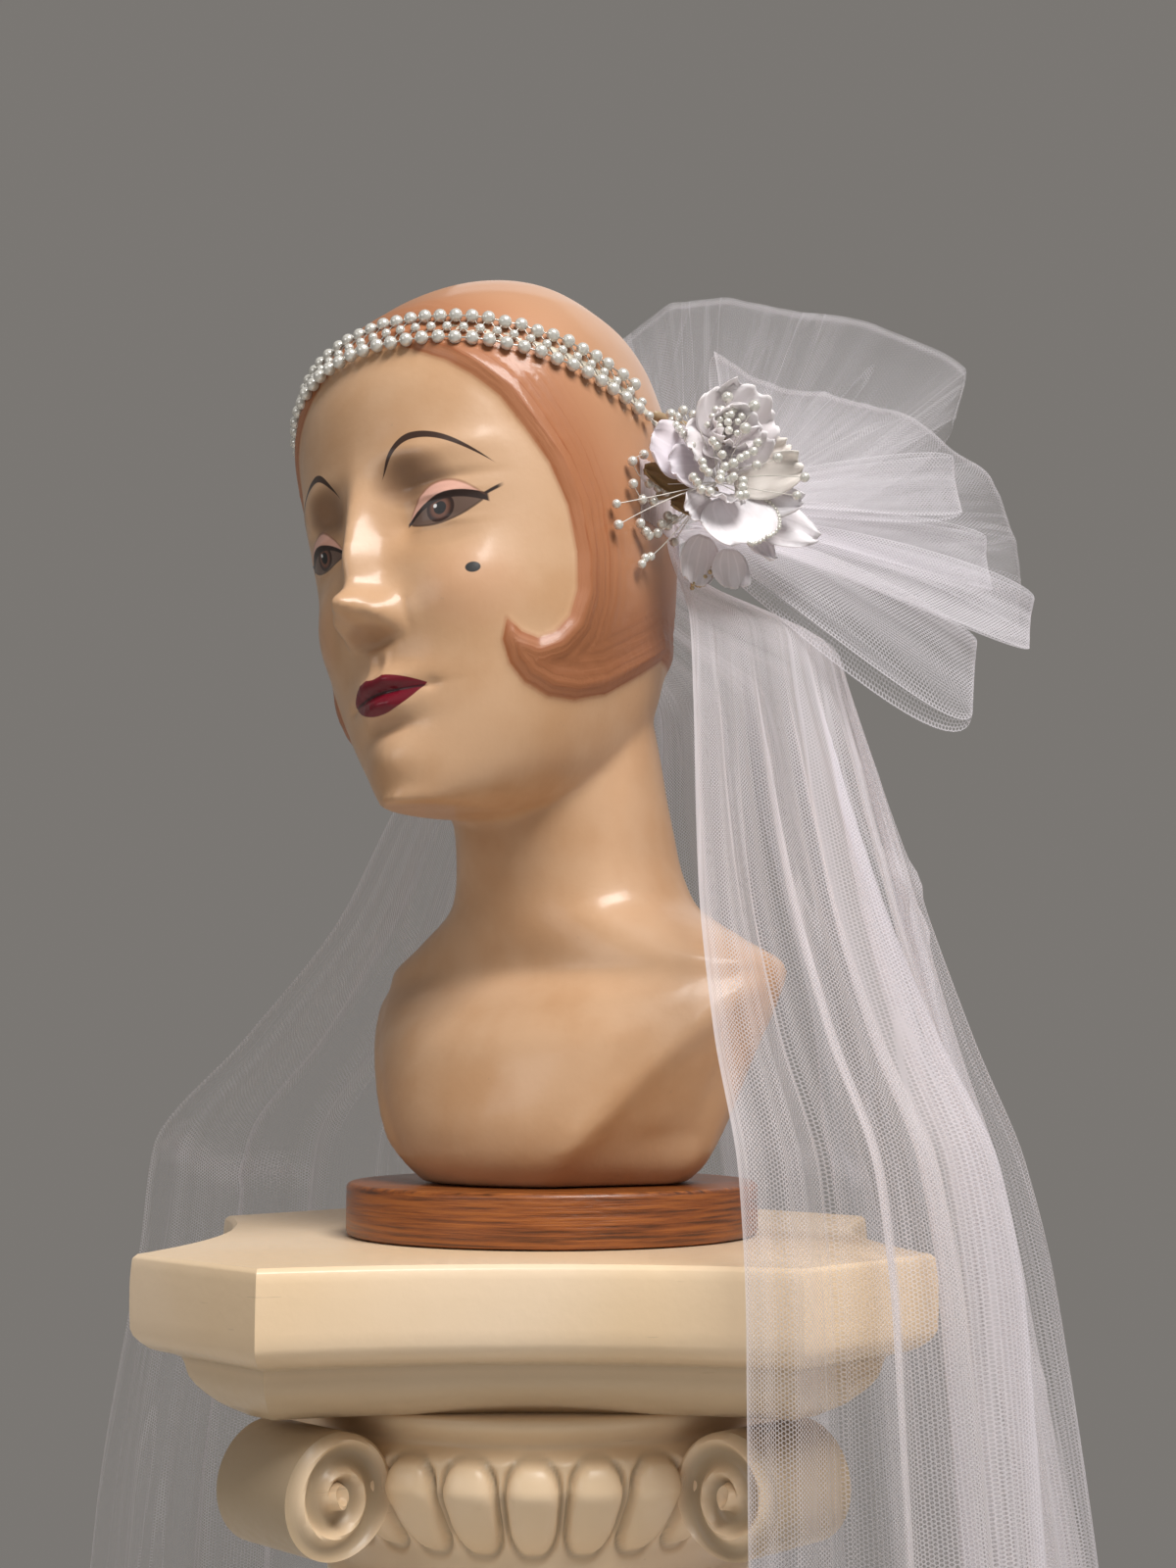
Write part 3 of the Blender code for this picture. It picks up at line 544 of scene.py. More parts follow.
def pearl_finish(name, colour):
    """Imitation pearl with a soft metallic lustre."""
    paint = Finish(name, colour)
    place = paint.node("TexCoord", out="Object")
    cloud = paint.noise(place, 160.0, 2.0)
    base = paint.mix(cloud, colour, tuple(0.86 * c for c in colour[:3]))
    return paint.surface(paint.node("BsdfPrincipled", values={
        "Base Color": base, "Metallic": 0.35, "Roughness": cloud.step(0.3, 0.7, 0.16, 0.26),
        "Coat Weight": 0.7, "Coat Roughness": 0.06, "Specular IOR Level": 0.7}))


def wire_finish(name, colour, metallic, roughness):
    """Fine wire or clear stem, slightly uneven in shine."""
    paint = Finish(name, colour)
    cloud = paint.noise(paint.node("TexCoord", out="Object"), 240.0, 2.0)
    base = paint.mix(cloud, colour, tuple(0.8 * c for c in colour[:3]))
    return paint.surface(paint.node("BsdfPrincipled", values={
        "Base Color": base, "Metallic": metallic,
        "Roughness": cloud.step(0.3, 0.7, roughness, roughness + 0.12)}))


def petal_finish(name, colour, opacity):
    """Thin silk or organza: veins along the petal, a fine weave and some see-through."""
    paint = Finish(name, colour)
    x, y = paint.parts(paint.node("UVMap", {"uv_map": "cloth"}))[:2]
    wander = paint.noise(paint.node("TexCoord", out="Object"), 90.0, 2.0)
    vein = (x * 13.0 + wander * 2.4).cosine()
    weave = (x * 330.0).cosine() + (y * 330.0).cosine()
    cloud = paint.noise(paint.node("TexCoord", out="Object"), 60.0, 3.0)
    warm = paint.mix(cloud.step(0.35, 0.7), colour, (colour[0] * 0.99, colour[1] * 0.965, colour[2] * 0.955))
    base = paint.mix(y.step(0.0, 0.35, 0.15, 0.0), warm, (0.80, 0.72, 0.62))
    normal = paint.bump(vein * 0.25 + weave * 0.08 + cloud * 0.6, 0.0004, 0.3)
    silk = paint.node("BsdfPrincipled", values={
        "Base Color": base, "Roughness": cloud.step(0.3, 0.7, 0.38, 0.55), "Sheen Weight": 0.3,
        "Normal": normal})
    glow = paint.node("BsdfTranslucent", values={
        "Color": (colour[0] * 0.995, colour[1] * 0.985, colour[2] * 0.98)})
    lit = paint.node("MixShader", values={0: 0.14, 1: silk, 2: glow})
    clear = paint.node("BsdfTransparent")
    cover = (vein.step(0.6, 1.0, opacity, min(1.0, opacity + 0.12))).most(cloud.step(0.6, 0.8, 0.0, opacity))
    return paint.surface(paint.node("MixShader", values={0: cover, 1: clear, 2: lit}))


def oval(across, upward, centre, half_width, half_height):
    """1 on an oval's edge, less inside."""
    return ((across - centre[0]) / half_width) ** 2.0 + ((upward - centre[1]) / half_height) ** 2.0


def skin_finish(settings):
    """Glossy cream paint with painted brows, lids, eyes, lips, spot and ginger hair; painted shade in the eye
    sockets, over the eye whites, along the lid creases and under the nose and lower lip, and a painted glint
    in each eye.
    """
    skin = tuple(settings.skin_colour)
    hair = tuple(settings.hair_colour)
    paint = Finish("glossy_painted_skin", skin)
    place = paint.attribute("wearer", out="Vector")
    x, y, height = paint.parts(place)
    aside = abs(x)
    front = y.step(-0.070, -0.085)
    cloud = paint.noise(place, 26.0, 4.0)
    grain = paint.noise(place, 420.0, 3.0)
    colour = paint.mix(cloud.step(0.35, 0.7), skin, (skin[0] * 0.90, skin[1] * 0.83, skin[2] * 0.74))
    blush = ((aside - 0.040) * 50.0) ** 2.0 + ((height - 0.250) * 46.0) ** 2.0
    colour = paint.mix(blush.step(1.0, 0.0, 0.0, 0.16) * front, colour, (0.70, 0.36, 0.24))

    # Painted shade in the eye sockets, a soft brown under each eye, then lids, eyes and brows
    eye_x = (aside - EYE_ASIDE) / EYE_HALF_WIDTH
    arch = 1.0 - eye_x * eye_x
    eye_y = height - EYE_HEIGHT - (aside - EYE_ASIDE) * 0.16
    crease_line = eye_y - arch * 0.0112 - 0.0006
    # Painted shade: the inner eye sockets darkened towards brown
    socket = oval(aside, height, (0.0235, 0.2985), 0.0165, 0.0125)
    colour = paint.mix(socket.step(1.15, 0.1) * 0.85 * front, colour, (0.20, 0.105, 0.055))
    under = oval(aside, height, (0.0325, 0.2735), 0.0170, 0.0065)
    colour = paint.mix(under.step(1.0, 0.2) * 0.30 * front, colour, (0.42, 0.25, 0.14))
    lid = (0.0 - crease_line).step(-0.0004, 0.0008) * (eye_y - arch * 0.0046).step(-0.0004, 0.0004)
    lid = lid * arch.step(-0.15, 0.25) * front
    colour = paint.mix(lid * 0.85, colour, (0.74, 0.41, 0.33))
    # The eye's opening is painted dark brown: painted shade over the eye whites, with the iris on top
    opening = arch * EYE_HALF_OPENING - abs(eye_y)
    seen = opening.step(0.0, 0.0003) * front
    colour = paint.mix(seen, colour, (0.130, 0.080, 0.060))
    iris_x = x - eye_sign(x) * IRIS_ASIDE
    iris_reach = (iris_x * iris_x + (eye_y - 0.0010) ** 2.0) ** 0.5
    colour = paint.mix(iris_reach.step(0.0058, 0.0053) * seen, colour, (0.030, 0.012, 0.008))
    colour = paint.mix(iris_reach.step(0.0048, 0.0030) * seen, colour, (0.155, 0.060, 0.035))
    colour = paint.mix(iris_reach.step(0.0027, 0.0023) * seen, colour, (0.005, 0.004, 0.004))
    # Painted highlight: a light grey glint on each iris
    glint = ((iris_x + 0.0017) ** 2.0 + (eye_y - 0.0024) ** 2.0) ** 0.5
    colour = paint.mix(glint.step(0.0009, 0.0006) * seen, colour, (0.75, 0.75, 0.75))
    lash_width = 0.0008 + (eye_x + 1.0).most(0.0) * 0.0005
    upper = (lash_width - abs(eye_y - arch * EYE_HALF_OPENING)).step(-0.0002, 0.0003) * arch.step(-0.12, 0.0)
    flick = abs(eye_y - 0.0008 - (aside - 0.047) * 0.45).step(0.0010, 0.0004)
    flick = flick * aside.step(0.0462, 0.0475) * aside.step(0.0545, 0.0520)
    lower = abs(eye_y + arch * EYE_HALF_OPENING).step(0.0006, 0.0002) * arch.step(0.0, 0.2) * 0.75
    lashes = upper.most(flick).most(lower) * front
    colour = paint.mix(lashes, colour, (0.022, 0.010, 0.007))
    # Painted shade: a dark brown line along each lid's crease
    fold = abs(crease_line).step(0.0010, 0.0001) * arch.step(-0.1, 0.4) * 0.6 * front
    colour = paint.mix(fold, colour, (0.24, 0.10, 0.055))
    brow_x = aside - 0.0275
    inward = brow_x.step(0.0005, -0.0005)
    brow_line = 0.3147 - brow_x * brow_x * (inward * 34.0 + 24.5)
    taper = 1.0 - ((aside - 0.0325) / 0.0212) ** 4.0
    thick = taper.most(0.0) * (0.0021 - (aside - 0.0125) * 0.024)
    brow = (thick - abs(height - brow_line)).step(0.0, 0.0004) * front
    colour = paint.mix(brow, colour, (0.040, 0.017, 0.009))

    # Lips and the painted spot
    line = height - MOUTH_HEIGHT + aside * 0.02
    bow = (1.0 - (aside / 0.0042) ** 2.0).most(0.0) * 0.0012
    upper_lip = (1.0 - (aside / MOUTH_HALF_WIDTH) ** 2.0) * 0.0070 - bow
    lower_lip = (1.0 - (aside / 0.0185) ** 2.0) * 0.0088
    lips = (upper_lip - line).step(0.0, 0.0004) * (lower_lip + line).step(0.0, 0.0004)
    lips = lips * aside.step(MOUTH_HALF_WIDTH, 0.0208) * front
    colour = paint.mix(lips, colour, tuple(settings.lip_colour))
    parting = abs(line).step(0.0008, 0.0002) * aside.step(0.0200, 0.0170) * front
    colour = paint.mix(parting * 0.8, colour, (0.020, 0.002, 0.004))
    spot = ((x - SPOT_ASIDE) ** 2.0 + (height - SPOT_HEIGHT) ** 2.0) ** 0.5
    colour = paint.mix(spot.step(0.0024, 0.0020) * front, colour, (0.004, 0.003, 0.003))

    # Shade under the nose and under the lower lip
    beneath = oval(aside, height, (0.0, 0.2365), 0.0135, 0.0050)
    colour = paint.mix(beneath.step(1.0, 0.3) * front * 0.45, colour, (0.30, 0.15, 0.075))
    below_lip = oval(aside, height, (0.0, 0.2010), 0.0150, 0.0045)
    colour = paint.mix(below_lip.step(1.0, 0.2) * front * 0.35, colour, (0.36, 0.20, 0.11))

    # Hair, darker along its moulded front lock and at its lower edge
    depth = paint.attribute("hair_depth")
    inside = depth.step(-0.0003, 0.0005)
    along = paint.node("CombineXYZ", values={"X": depth * 26.0, "Y": height * 2.0, "Z": y})
    wisp = paint.noise(along, 16.0, 4.0)
    strand = (depth * 1500.0 + wisp * 9.0).cosine()
    warm = paint.mix(depth.step(0.010, 0.045), (hair[0] * 0.78, hair[1] * 0.60, hair[2] * 0.48), hair)
    pale = paint.mix(depth.step(0.030, 0.075) * 0.5, warm, (0.47, 0.28, 0.165))
    dark = strand.step(0.55, 1.0) * depth.step(0.030, 0.006) * wisp.step(0.40, 0.62)
    pale = paint.mix(dark * 0.75, pale, (0.30, 0.085, 0.025))
    low = height.step(0.275, 0.225) * depth.step(0.0, 0.010) * 0.90
    pale = paint.mix(low, pale, (0.27, 0.100, 0.040))
    colour = paint.mix(inside, colour, pale)
    edge = abs(depth).step(0.0016, 0.0002) * 0.45
    colour = paint.mix(edge, colour, (0.36, 0.14, 0.055))

    # Fine scuffs in the old paint
    scuff = grain.step(0.70, 0.74) * cloud.step(0.52, 0.66) * 0.45
    colour = paint.mix(scuff, colour, (0.40, 0.26, 0.16))
    rough = cloud.step(0.3, 0.7, 0.42, 0.54) + inside * 0.05 + scuff * 0.3
    relief = grain * 0.25 + cloud + strand * depth.step(0.0, 0.004) * depth.step(0.035, 0.010) * 0.25
    return paint.surface(paint.node("BsdfPrincipled", values={
        "Base Color": colour, "Roughness": rough, "Specular IOR Level": 0.3, "Coat Weight": 0.42,
        "Coat Roughness": 0.17, "Normal": paint.bump(relief, 0.0007, 0.35)}))


def eye_sign(x):
    """+1 on the wearer's left and -1 on the right."""
    return x.maths("SIGN", x)


def wood_finish(colour):
    """Reddish-brown stain brushed round the foot."""
    paint = Finish("stained_wood_grain", colour)
    place = paint.node("TexCoord", out="Object")
    x, y, z = paint.parts(place)
    reach = ((x - 0.005) ** 2.0 + y * y) ** 0.5
    turn = x.maths("ARCTAN2", y, x - 0.005)
    side = paint.node("CombineXYZ", values={"X": turn * 2.2, "Y": reach * 90.0, "Z": z * 760.0})
    top = paint.node("CombineXYZ", values={"X": x * 40.0, "Y": y * 420.0, "Z": z * 420.0})
    grain = paint.noise(side, 1.0, 6.0, 0.65)
    boards = paint.noise(top, 1.0, 5.0, 0.6)
    on_top = z.step(PEDESTAL_TOP + 0.0195, PEDESTAL_TOP + 0.0212)
    both = grain * (1.0 - on_top) + boards * on_top
    base = paint.node("ValToRGB", {"stops": [
        (0.34, tuple(0.34 * c for c in colour)), (0.48, colour),
        (0.60, (colour[0] * 1.5, colour[1] * 1.7, colour[2] * 1.7))]}, {0: both})
    return paint.surface(paint.node("BsdfPrincipled", values={
        "Base Color": base, "Roughness": both.step(0.3, 0.7, 0.30, 0.48), "Coat Weight": 0.3,
        "Coat Roughness": 0.2, "Normal": paint.bump(both, 0.0009, 0.6)}))


def plaster_finish(name, colour):
    """Satin ivory paint on cast plaster: soft clouding, grime and painted shade in hollows, a painted shadow
    under the abacus, scuffs and small chips.
    """
    paint = Finish(name, colour)
    place = paint.node("TexCoord", out="Object")
    cloud = paint.noise(place, 7.0, 4.0)
    grain = paint.noise(place, 260.0, 4.0)
    base = paint.mix(cloud.step(0.3, 0.7), colour, (colour[0] * 0.93, colour[1] * 0.88, colour[2] * 0.78))
    # Darker where the mesh marks hollows: grime and painted shade in grooves, and a painted shadow over the
    # cove under the abacus
    hollow = paint.attribute("hollow")
    base = paint.mix(hollow * 0.8, base, (0.36, 0.27, 0.17))
    chips = paint.noise(place, 95.0, 5.0, 0.7).step(0.735, 0.755) * cloud.step(0.46, 0.60)
    base = paint.mix(chips * 0.85, base, (0.22, 0.16, 0.10))
    scratch = paint.noise(paint.vector("MULTIPLY", place, (14.0, 14.0, 160.0)), 3.0, 2.0)
    scratch = scratch.step(0.715, 0.735) * cloud.step(0.5, 0.64) * 0.35
    base = paint.mix(scratch, base, (0.50, 0.36, 0.22))
    relief = grain * 0.3 + cloud - chips * 1.2
    return paint.surface(paint.node("BsdfPrincipled", values={
        "Base Color": base, "Roughness": grain.step(0.3, 0.7, 0.34, 0.48), "Coat Weight": 0.18,
        "Coat Roughness": 0.25, "Normal": paint.bump(relief, 0.0010, 0.35)}))


def plain_finish(name, colour, roughness):
    """Matt studio paper with a faint tooth."""
    paint = Finish(name, colour)
    tooth = paint.noise(paint.node("TexCoord", out="Object"), 60.0, 3.0)
    base = paint.mix(tooth, colour, tuple(0.97 * c for c in colour[:3]))
    return paint.surface(paint.node("BsdfPrincipled", values={"Base Color": base, "Roughness": roughness}))


def add_mesh(name, points, faces, material, cloth=None, values=None, vectors=None):
    """A smooth mesh object, with its cloth coordinates and the values kept on its points."""
    points = np.asarray(points, dtype=float).reshape(-1, 3)
    mesh = bpy.data.meshes.new(name)
    mesh.from_pydata(points.tolist(), [], faces.tolist() if isinstance(faces, np.ndarray) else faces)
    if cloth is not None:
        layer = mesh.uv_layers.new(name="cloth")
        corners = np.empty(len(mesh.loops), dtype=np.int32)
        mesh.loops.foreach_get("vertex_index", corners)
        layer.data.foreach_set("uv", np.asarray(cloth, dtype=np.float32).reshape(-1, 2)[corners].ravel())
    keep_values(mesh, values or {}, vectors or {})
    mesh.materials.append(material)
    mesh.shade_smooth()
    made = bpy.data.objects.new(name, mesh)
    bpy.context.collection.objects.link(made)
    return made


def keep_values(mesh, values, vectors):
    """Numbers and vectors kept on a mesh's points."""
    for name, numbers in values.items():
        kept = mesh.attributes.new(name, "FLOAT", "POINT")
        kept.data.foreach_set("value", np.asarray(numbers, dtype=np.float32).ravel())
    for name, numbers in vectors.items():
        kept = mesh.attributes.new(name, "FLOAT_VECTOR", "POINT")
        kept.data.foreach_set("vector", np.asarray(numbers, dtype=np.float32).ravel())


def grid_faces(rows, columns, closed=False):
    """Four-sided faces over a grid of points; closed joins the last column to the first."""
    index = np.arange(rows * columns).reshape(rows, columns)
    if closed:
        index = np.concatenate([index, index[:, :1]], axis=1)
    corners = (index[:-1, :-1], index[:-1, 1:], index[1:, 1:], index[1:, :-1])
    return np.stack([corner.ravel() for corner in corners], axis=1)


def seat(piece, slot, *nodes):
    """Let a piece ride on the part and stand for its nodes; its slot is not used."""
    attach(piece, "root")
    if nodes:
        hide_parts(*nodes)
    return piece


def local_fullness(grid, cut):
    """How many times its own width the cloth is drawn in at each point of a grid."""
    steps = np.linalg.norm(np.diff(grid, axis=1), axis=2)
    laid = np.diff(cut, axis=1)
    ratio = laid / np.maximum(steps, 1e-5)
    ratio = np.concatenate([ratio[:, :1], (ratio[:, 1:] + ratio[:, :-1]) / 2, ratio[:, -1:]], axis=1)
    return np.clip(ratio, 1.0, 6.0)


def soften(values, times):
    """Values of a grid smoothed along both ways."""
    for step in range(times):
        padded = np.pad(values, 1, mode="edge")
        values = (padded[:-2, 1:-1] + padded[2:, 1:-1] + padded[1:-1, :-2] + padded[1:-1, 2:] + values) / 5
    return values


def veil_columns(steps):
    """Along the cloth: place, fold wave, sideways lean, crease, fold and layers of each column."""
    total = sum(fold.share for fold in FOLDS)
    columns = []
    start = 0.0
    for number, fold in enumerate(FOLDS):
        for step in range(steps):
            phase = step / steps
            rise = 1 - math.cos(2 * math.pi * phase)
            from_crest = abs(phase - 0.5) * fold.share
            from_trough = min(phase, 1 - phase) * fold.share
            crease = fold.crease * (math.exp(-(from_crest / FOLD_CREASE_WIDTH) ** 2)
                                    + 0.7 * math.exp(-(from_trough / FOLD_CREASE_WIDTH) ** 2))
            after = FOLDS[min(number + 1, len(FOLDS) - 1)]
            layers = fold.layers + (after.layers - fold.layers) * float(ease(0.72, 1.0, phase))
            columns.append((start + fold.share * phase / total, fold.crest * rise - 1,
                            fold.lean * fold.crest * rise, crease, number, layers))
        start += fold.share / total
    columns.append((1.0, -1.0, 0.0, FOLDS[-1].crease, len(FOLDS) - 1, FOLDS[-1].layers))
    return np.array(columns).T


def veil_points(settings):
    """The hanging cloth as a grid of points, with its cloth coordinates, fullness and creases."""
    steps = FOLD_STEPS
    rows = VEIL_ROWS
    share, wave, lean, crease, number, layers = veil_columns(steps)
    drops = np.concatenate([np.linspace(0, 1, rows) ** 1.15 * 0.9985, [0.9993, 1.0]])
    top = on_head(GATHER_START + (HEADING_END - GATHER_START) * share,
                  HEADING_BOTTOM - VEIL_SEAM, HEADING_CLEARANCE + TULLE / 2)
    drop = drops[:, None]
    height = top[None, :, 2] + (HEM_HEIGHT - top[None, :, 2]) * drop
    level = read_rows(VEIL_LEVELS, height)
    front = np.degrees(np.arctan2(level.front_y, level.front_x))
    left = np.degrees(np.arctan2(level.left_y, level.left_x))
    azimuth = front + (left - front) * share
    fallen = top[None, :, 2] - height
    growth = ease(0.0, FOLD_GROWTH, fallen)
    uneven = 1 + 0.30 * np.sin(2 * math.pi * (drop * (0.9 + 0.13 * (number % 5)) + number * 0.37))
    depth = GATHER_DEPTH + (FOLD_DEPTH - GATHER_DEPTH) * growth * uneven
    reach = curve_through(
        (front, RIGHT_AZIMUTH, BACK_AZIMUTH, left),
        (np.hypot(level.front_x, level.front_y), level.right, level.back,
         np.hypot(level.left_x, level.left_y)), azimuth)
    ripple = np.zeros_like(height)
    for row in RIPPLES:
        turn = 2 * math.pi * (row.count * share + row.drift * drop) + row.phase
        fade = 0.5 + 0.5 * np.sin(2 * math.pi * (drop * 1.7 + share * 5.0) + row.phase)
        ripple += row.depth * np.sin(turn) * (0.35 + fade)
    reach = reach + depth * wave + ripple * ease(0.01, 0.12, fallen)
    lean_wave = 0.7 + 0.5 * np.sin(2 * math.pi * (drop * 1.3 + number * 0.29))
    lean_depth = depth * lean * settings.fold_lean * lean_wave
    cross, cross_crease = crossing_creases(share, height)
    reach = reach + cross * ease(0.02, 0.10, fallen)
    angle = np.radians(azimuth) + lean_depth / np.maximum(reach, 0.05)
    hanging = np.stack([reach * np.cos(angle), reach * np.sin(angle), height], axis=2)
    outward = top[:, :2] - (HEAD_X, HEAD_Y)
    outward /= np.linalg.norm(outward, axis=1, keepdims=True)
    tangent = np.stack([-outward[:, 1], outward[:, 0]], axis=1)
    gathers = 0.0005 * np.sin(2 * math.pi * 88 * share) * ease(0.10, 0.0, fallen)
    push = (depth * wave + FALL_FLARE * fallen + gathers)[..., None]
    flat = top[None, :, :2] + outward * push + tangent * (lean_depth * 0.5)[..., None]
    gathered = np.concatenate([flat, height[..., None]], axis=2)
    blend = ease(0.0, FALL_BLEND, fallen)[..., None]
    grid = gathered * (1 - blend) + hanging * blend
    cut_x = np.broadcast_to(share * settings.veil_width, height.shape)
    cut_y = np.broadcast_to(-drop * settings.veil_length, height.shape)
    slow = (1 + 0.30 * np.sin(2 * math.pi * (6.3 * share + 0.7 * drop) + 1.0)
            + 0.22 * np.sin(2 * math.pi * (13.7 * share - 0.9 * drop) + 2.3))
    spread = layers + (1.0 - layers) * 0.35 * ease(0.10, 0.0, fallen)
    drawn_in = np.minimum(soften(local_fullness(grid, cut_x), 6), MOST_DRAWN_IN)
    fullness = np.clip(drawn_in * spread * slow * settings.veil_density, LEAST_FULL, MOST_FULL)
    shown = 0.35 + 0.65 * np.sin(2 * math.pi * (drop * 1.1 + number * 0.41)) ** 2
    creases = crease * shown * ease(0.0, 0.05, fallen) + cross_crease
    creases = np.maximum(creases, ease(0.9975, 0.9990, drop) * 1.2 + 0.0 * height)
    edge = np.minimum(share, 1 - share) * settings.veil_width
    creases = np.maximum(creases, 1.4 * ease(0.004, 0.0012, edge)[None, :])
    return grid, np.stack([cut_x, cut_y], axis=2), fullness, creases


def crossing_creases(share, height):
    """Height and strength of the soft creases that cross the folds."""
    rise = np.zeros_like(height)
    strength = np.zeros_like(height)
    for crease in CROSS_CREASES:
        span = crease.share_to - crease.share_from
        along = np.clip((share - crease.share_from) / span, -0.2, 1.2)
        bow = 0.004 * np.sin(3 * math.pi * along)
        line = crease.height_from + (crease.height_to - crease.height_from) * along + bow
        near = np.exp(-((height - line) / crease.width) ** 2)
        inside = ease(-0.05, 0.15, along) * ease(1.05, 0.80, along)
        rise += crease.depth * near * inside
        strength += 440.0 * crease.depth * near * inside
    return rise, strength


def build_veil(settings):
    """The long sheet of tulle, from its gathers to the hem."""
    grid, cut, fullness, creases = veil_points(settings)
    net = net_finish("tulle_net", settings)
    veil = add_mesh("veil_cloth", grid, grid_faces(*grid.shape[:2]), net, cloth=cut,
                    values={"fullness": fullness, "crease": creases})
    seat(veil, "tulle", "veil")


def build_heading(settings):
    """The gathered top of the veil, held flat on the side and back of the head."""
    rows, columns = 14, 480
    share = np.linspace(0, 1, columns)
    fall = np.linspace(0, 1, rows)[:, None]
    degrees = HEADING_START + (HEADING_END - HEADING_START) * share
    height = HEADING_TOP + (HEADING_BOTTOM - HEADING_TOP) * fall + 0.0 * share
    pleats = 0.00045 * np.sin(2 * math.pi * 92 * share + 1.5 * np.sin(9 * share + 2 * fall))
    grid = on_head(degrees + 0.0 * fall, height, HEADING_CLEARANCE + TULLE / 2 + pleats)
    cut_x = share * settings.veil_width + 0.0 * fall
    cut = np.stack([cut_x, 0.0 * share - fall * 0.028], axis=2)
    fullness = soften(local_fullness(grid, cut_x), 2)
    heading = add_mesh("heading_cloth", grid, grid_faces(rows, columns),
                       net_finish("tulle_heading_net", settings), cloth=cut,
                       values={"fullness": fullness, "crease": 0.0 * fullness})
    seat(heading, "tulle_heading", "heading")


def rim_points(rim, share):
    """Points of a rim at shares of its length."""
    if len(rim) == 2:
        return np.array(rim[0]) + (np.array(rim[1]) - np.array(rim[0])) * share[:, None]
    places = np.linspace(0.0, 1.0, len(rim))
    return np.stack([curve_through(places, values, share) for values in zip(*rim)], axis=-1)


def bezier(start, start_pull, end_pull, end, share):
    """Points of cubic curves from their two ends and their pulls."""
    rest = 1 - share
    return (start * rest ** 3 + start_pull * (3 * rest * rest * share)
            + end_pull * (3 * rest * share * share) + end * share ** 3)


def build_pouf_layer(layer, net):
    """A folded loop of net that leaves the heading, turns at its rim and comes back."""
    wide = len(layer.rim) > 2
    columns = 150 if wide else 26
    half_rows = 30
    share = np.linspace(0, 1, columns)
    rim = rim_points(layer.rim, share)
    centre = on_head(layer.front_from, layer.height)
    facing = np.cross(rim[0] - centre, rim[-1] - centre)
    facing /= np.linalg.norm(facing)
    facing *= -1 if facing[1] > 0 else 1
    stand_off = HEADING_CLEARANCE + TULLE + LAYER_STAND_OFF
    front_angle = layer.front_from + (layer.front_to - layer.front_from) * share
    rear_angle = layer.rear_from + (layer.rear_to - layer.rear_from) * share
    front = on_head(front_angle, layer.height, stand_off)
    front_pull = on_head(front_angle, layer.height, stand_off + layer.spring)
    rear = on_head(rear_angle, layer.height, stand_off)
    rear_pull = on_head(rear_angle, layer.height, stand_off + layer.spring)
    rim_run = rim[-1] - rim[0]
    wave = layer.pleat_depth * (np.cos(2 * math.pi * layer.pleats * share + 0.6 * np.sin(5 * share))
                                + 0.5 * np.cos(2 * math.pi * layer.pleats * 0.61 * share + 1.1))
    fine = sum(depth * np.sin(2 * math.pi * count * share + phase) for count, depth, phase in (
        (layer.pleats * 2.3, 0.30 * layer.pleat_depth, 0.7),
        (layer.pleats * 4.1, 0.16 * layer.pleat_depth, 2.2)))
    crowd = 0.5 - 0.5 * np.cos(np.pi * np.linspace(0, 1, half_rows + 1))
    turns = np.concatenate([crowd, 1 + crowd[1:]])
    grid = []
    for turn in turns:
        if turn <= 1:
            line = bezier(front, front_pull, rim + facing * layer.puff, rim, turn)
        else:
            line = bezier(rim, rim - facing * layer.puff, rear_pull, rear, turn - 1)
        swell = np.sin(math.pi * turn / 2)
        shift = wave * swell + fine * swell * np.sin(math.pi * turn / 2 + 3 * share)
        middle = turn if turn <= 1 else 2 - turn
        bulge = 4 * middle * (1 - middle) * (layer.belly * (share - 0.5) + layer.sag * share ** 3
                                             * (1.0 if turn <= 1 else 1.7))
        grid.append(line + facing * shift[:, None] + rim_run * bulge[:, None])
    grid = np.array(grid)
    cut_x = np.broadcast_to(share * layer.cut, grid.shape[:2])
    lengths = np.linalg.norm(np.diff(grid, axis=0), axis=2).mean(axis=1)
    run = np.concatenate([[0.0], np.cumsum(lengths)])
    cut = np.stack([cut_x, np.broadcast_to(-run[:, None], grid.shape[:2])], axis=2)
    tuft = (1 + 1.6 * np.exp(-(run[:, None] / TUFT_REACH) ** 2)
            + 1.6 * np.exp(-((run[-1] - run[:, None]) / TUFT_REACH) ** 2))
    fullness = np.clip(soften(local_fullness(grid, cut_x), 3), 1.0, 3.0) * layer.layers * tuft
    at_rim = np.exp(-((run - run[half_rows]) / 0.0016) ** 2)[:, None]
    side = np.minimum(share, 1 - share)[None, :] * layer.cut
    at_side = np.exp(-(side / 0.0016) ** 2)
    shorten = np.exp(-(run[:, None] / 0.075) ** 2)
    pleat_line = np.exp(-(np.sin(math.pi * 9.3 * share + 0.8 * np.sin(11 * share)) / 0.16) ** 2)[None, :]
    pleat_creases = pleat_line * shorten * (0.8 if wide else 0.3)
    creases = np.maximum(np.maximum(1.6 * at_rim, 1.3 * at_side), pleat_creases)
    cloth = add_mesh(layer.name + "_cloth", grid, grid_faces(*grid.shape[:2]), net, cloth=cut,
                     values={"fullness": fullness, "crease": creases})
    seat(cloth, "tulle_pouf", layer.name)
    length = float(run[-1])
    tapered = max(0.3, min(1.0, sheet_area(grid) / (layer.cut * length)))


def sheet_area(grid):
    """Area of the cloth between a grid's points."""
    across = grid[:-1, 1:] - grid[:-1, :-1]
    down = grid[1:, :-1] - grid[:-1, :-1]
    return float(np.linalg.norm(np.cross(across, down), axis=2).sum())


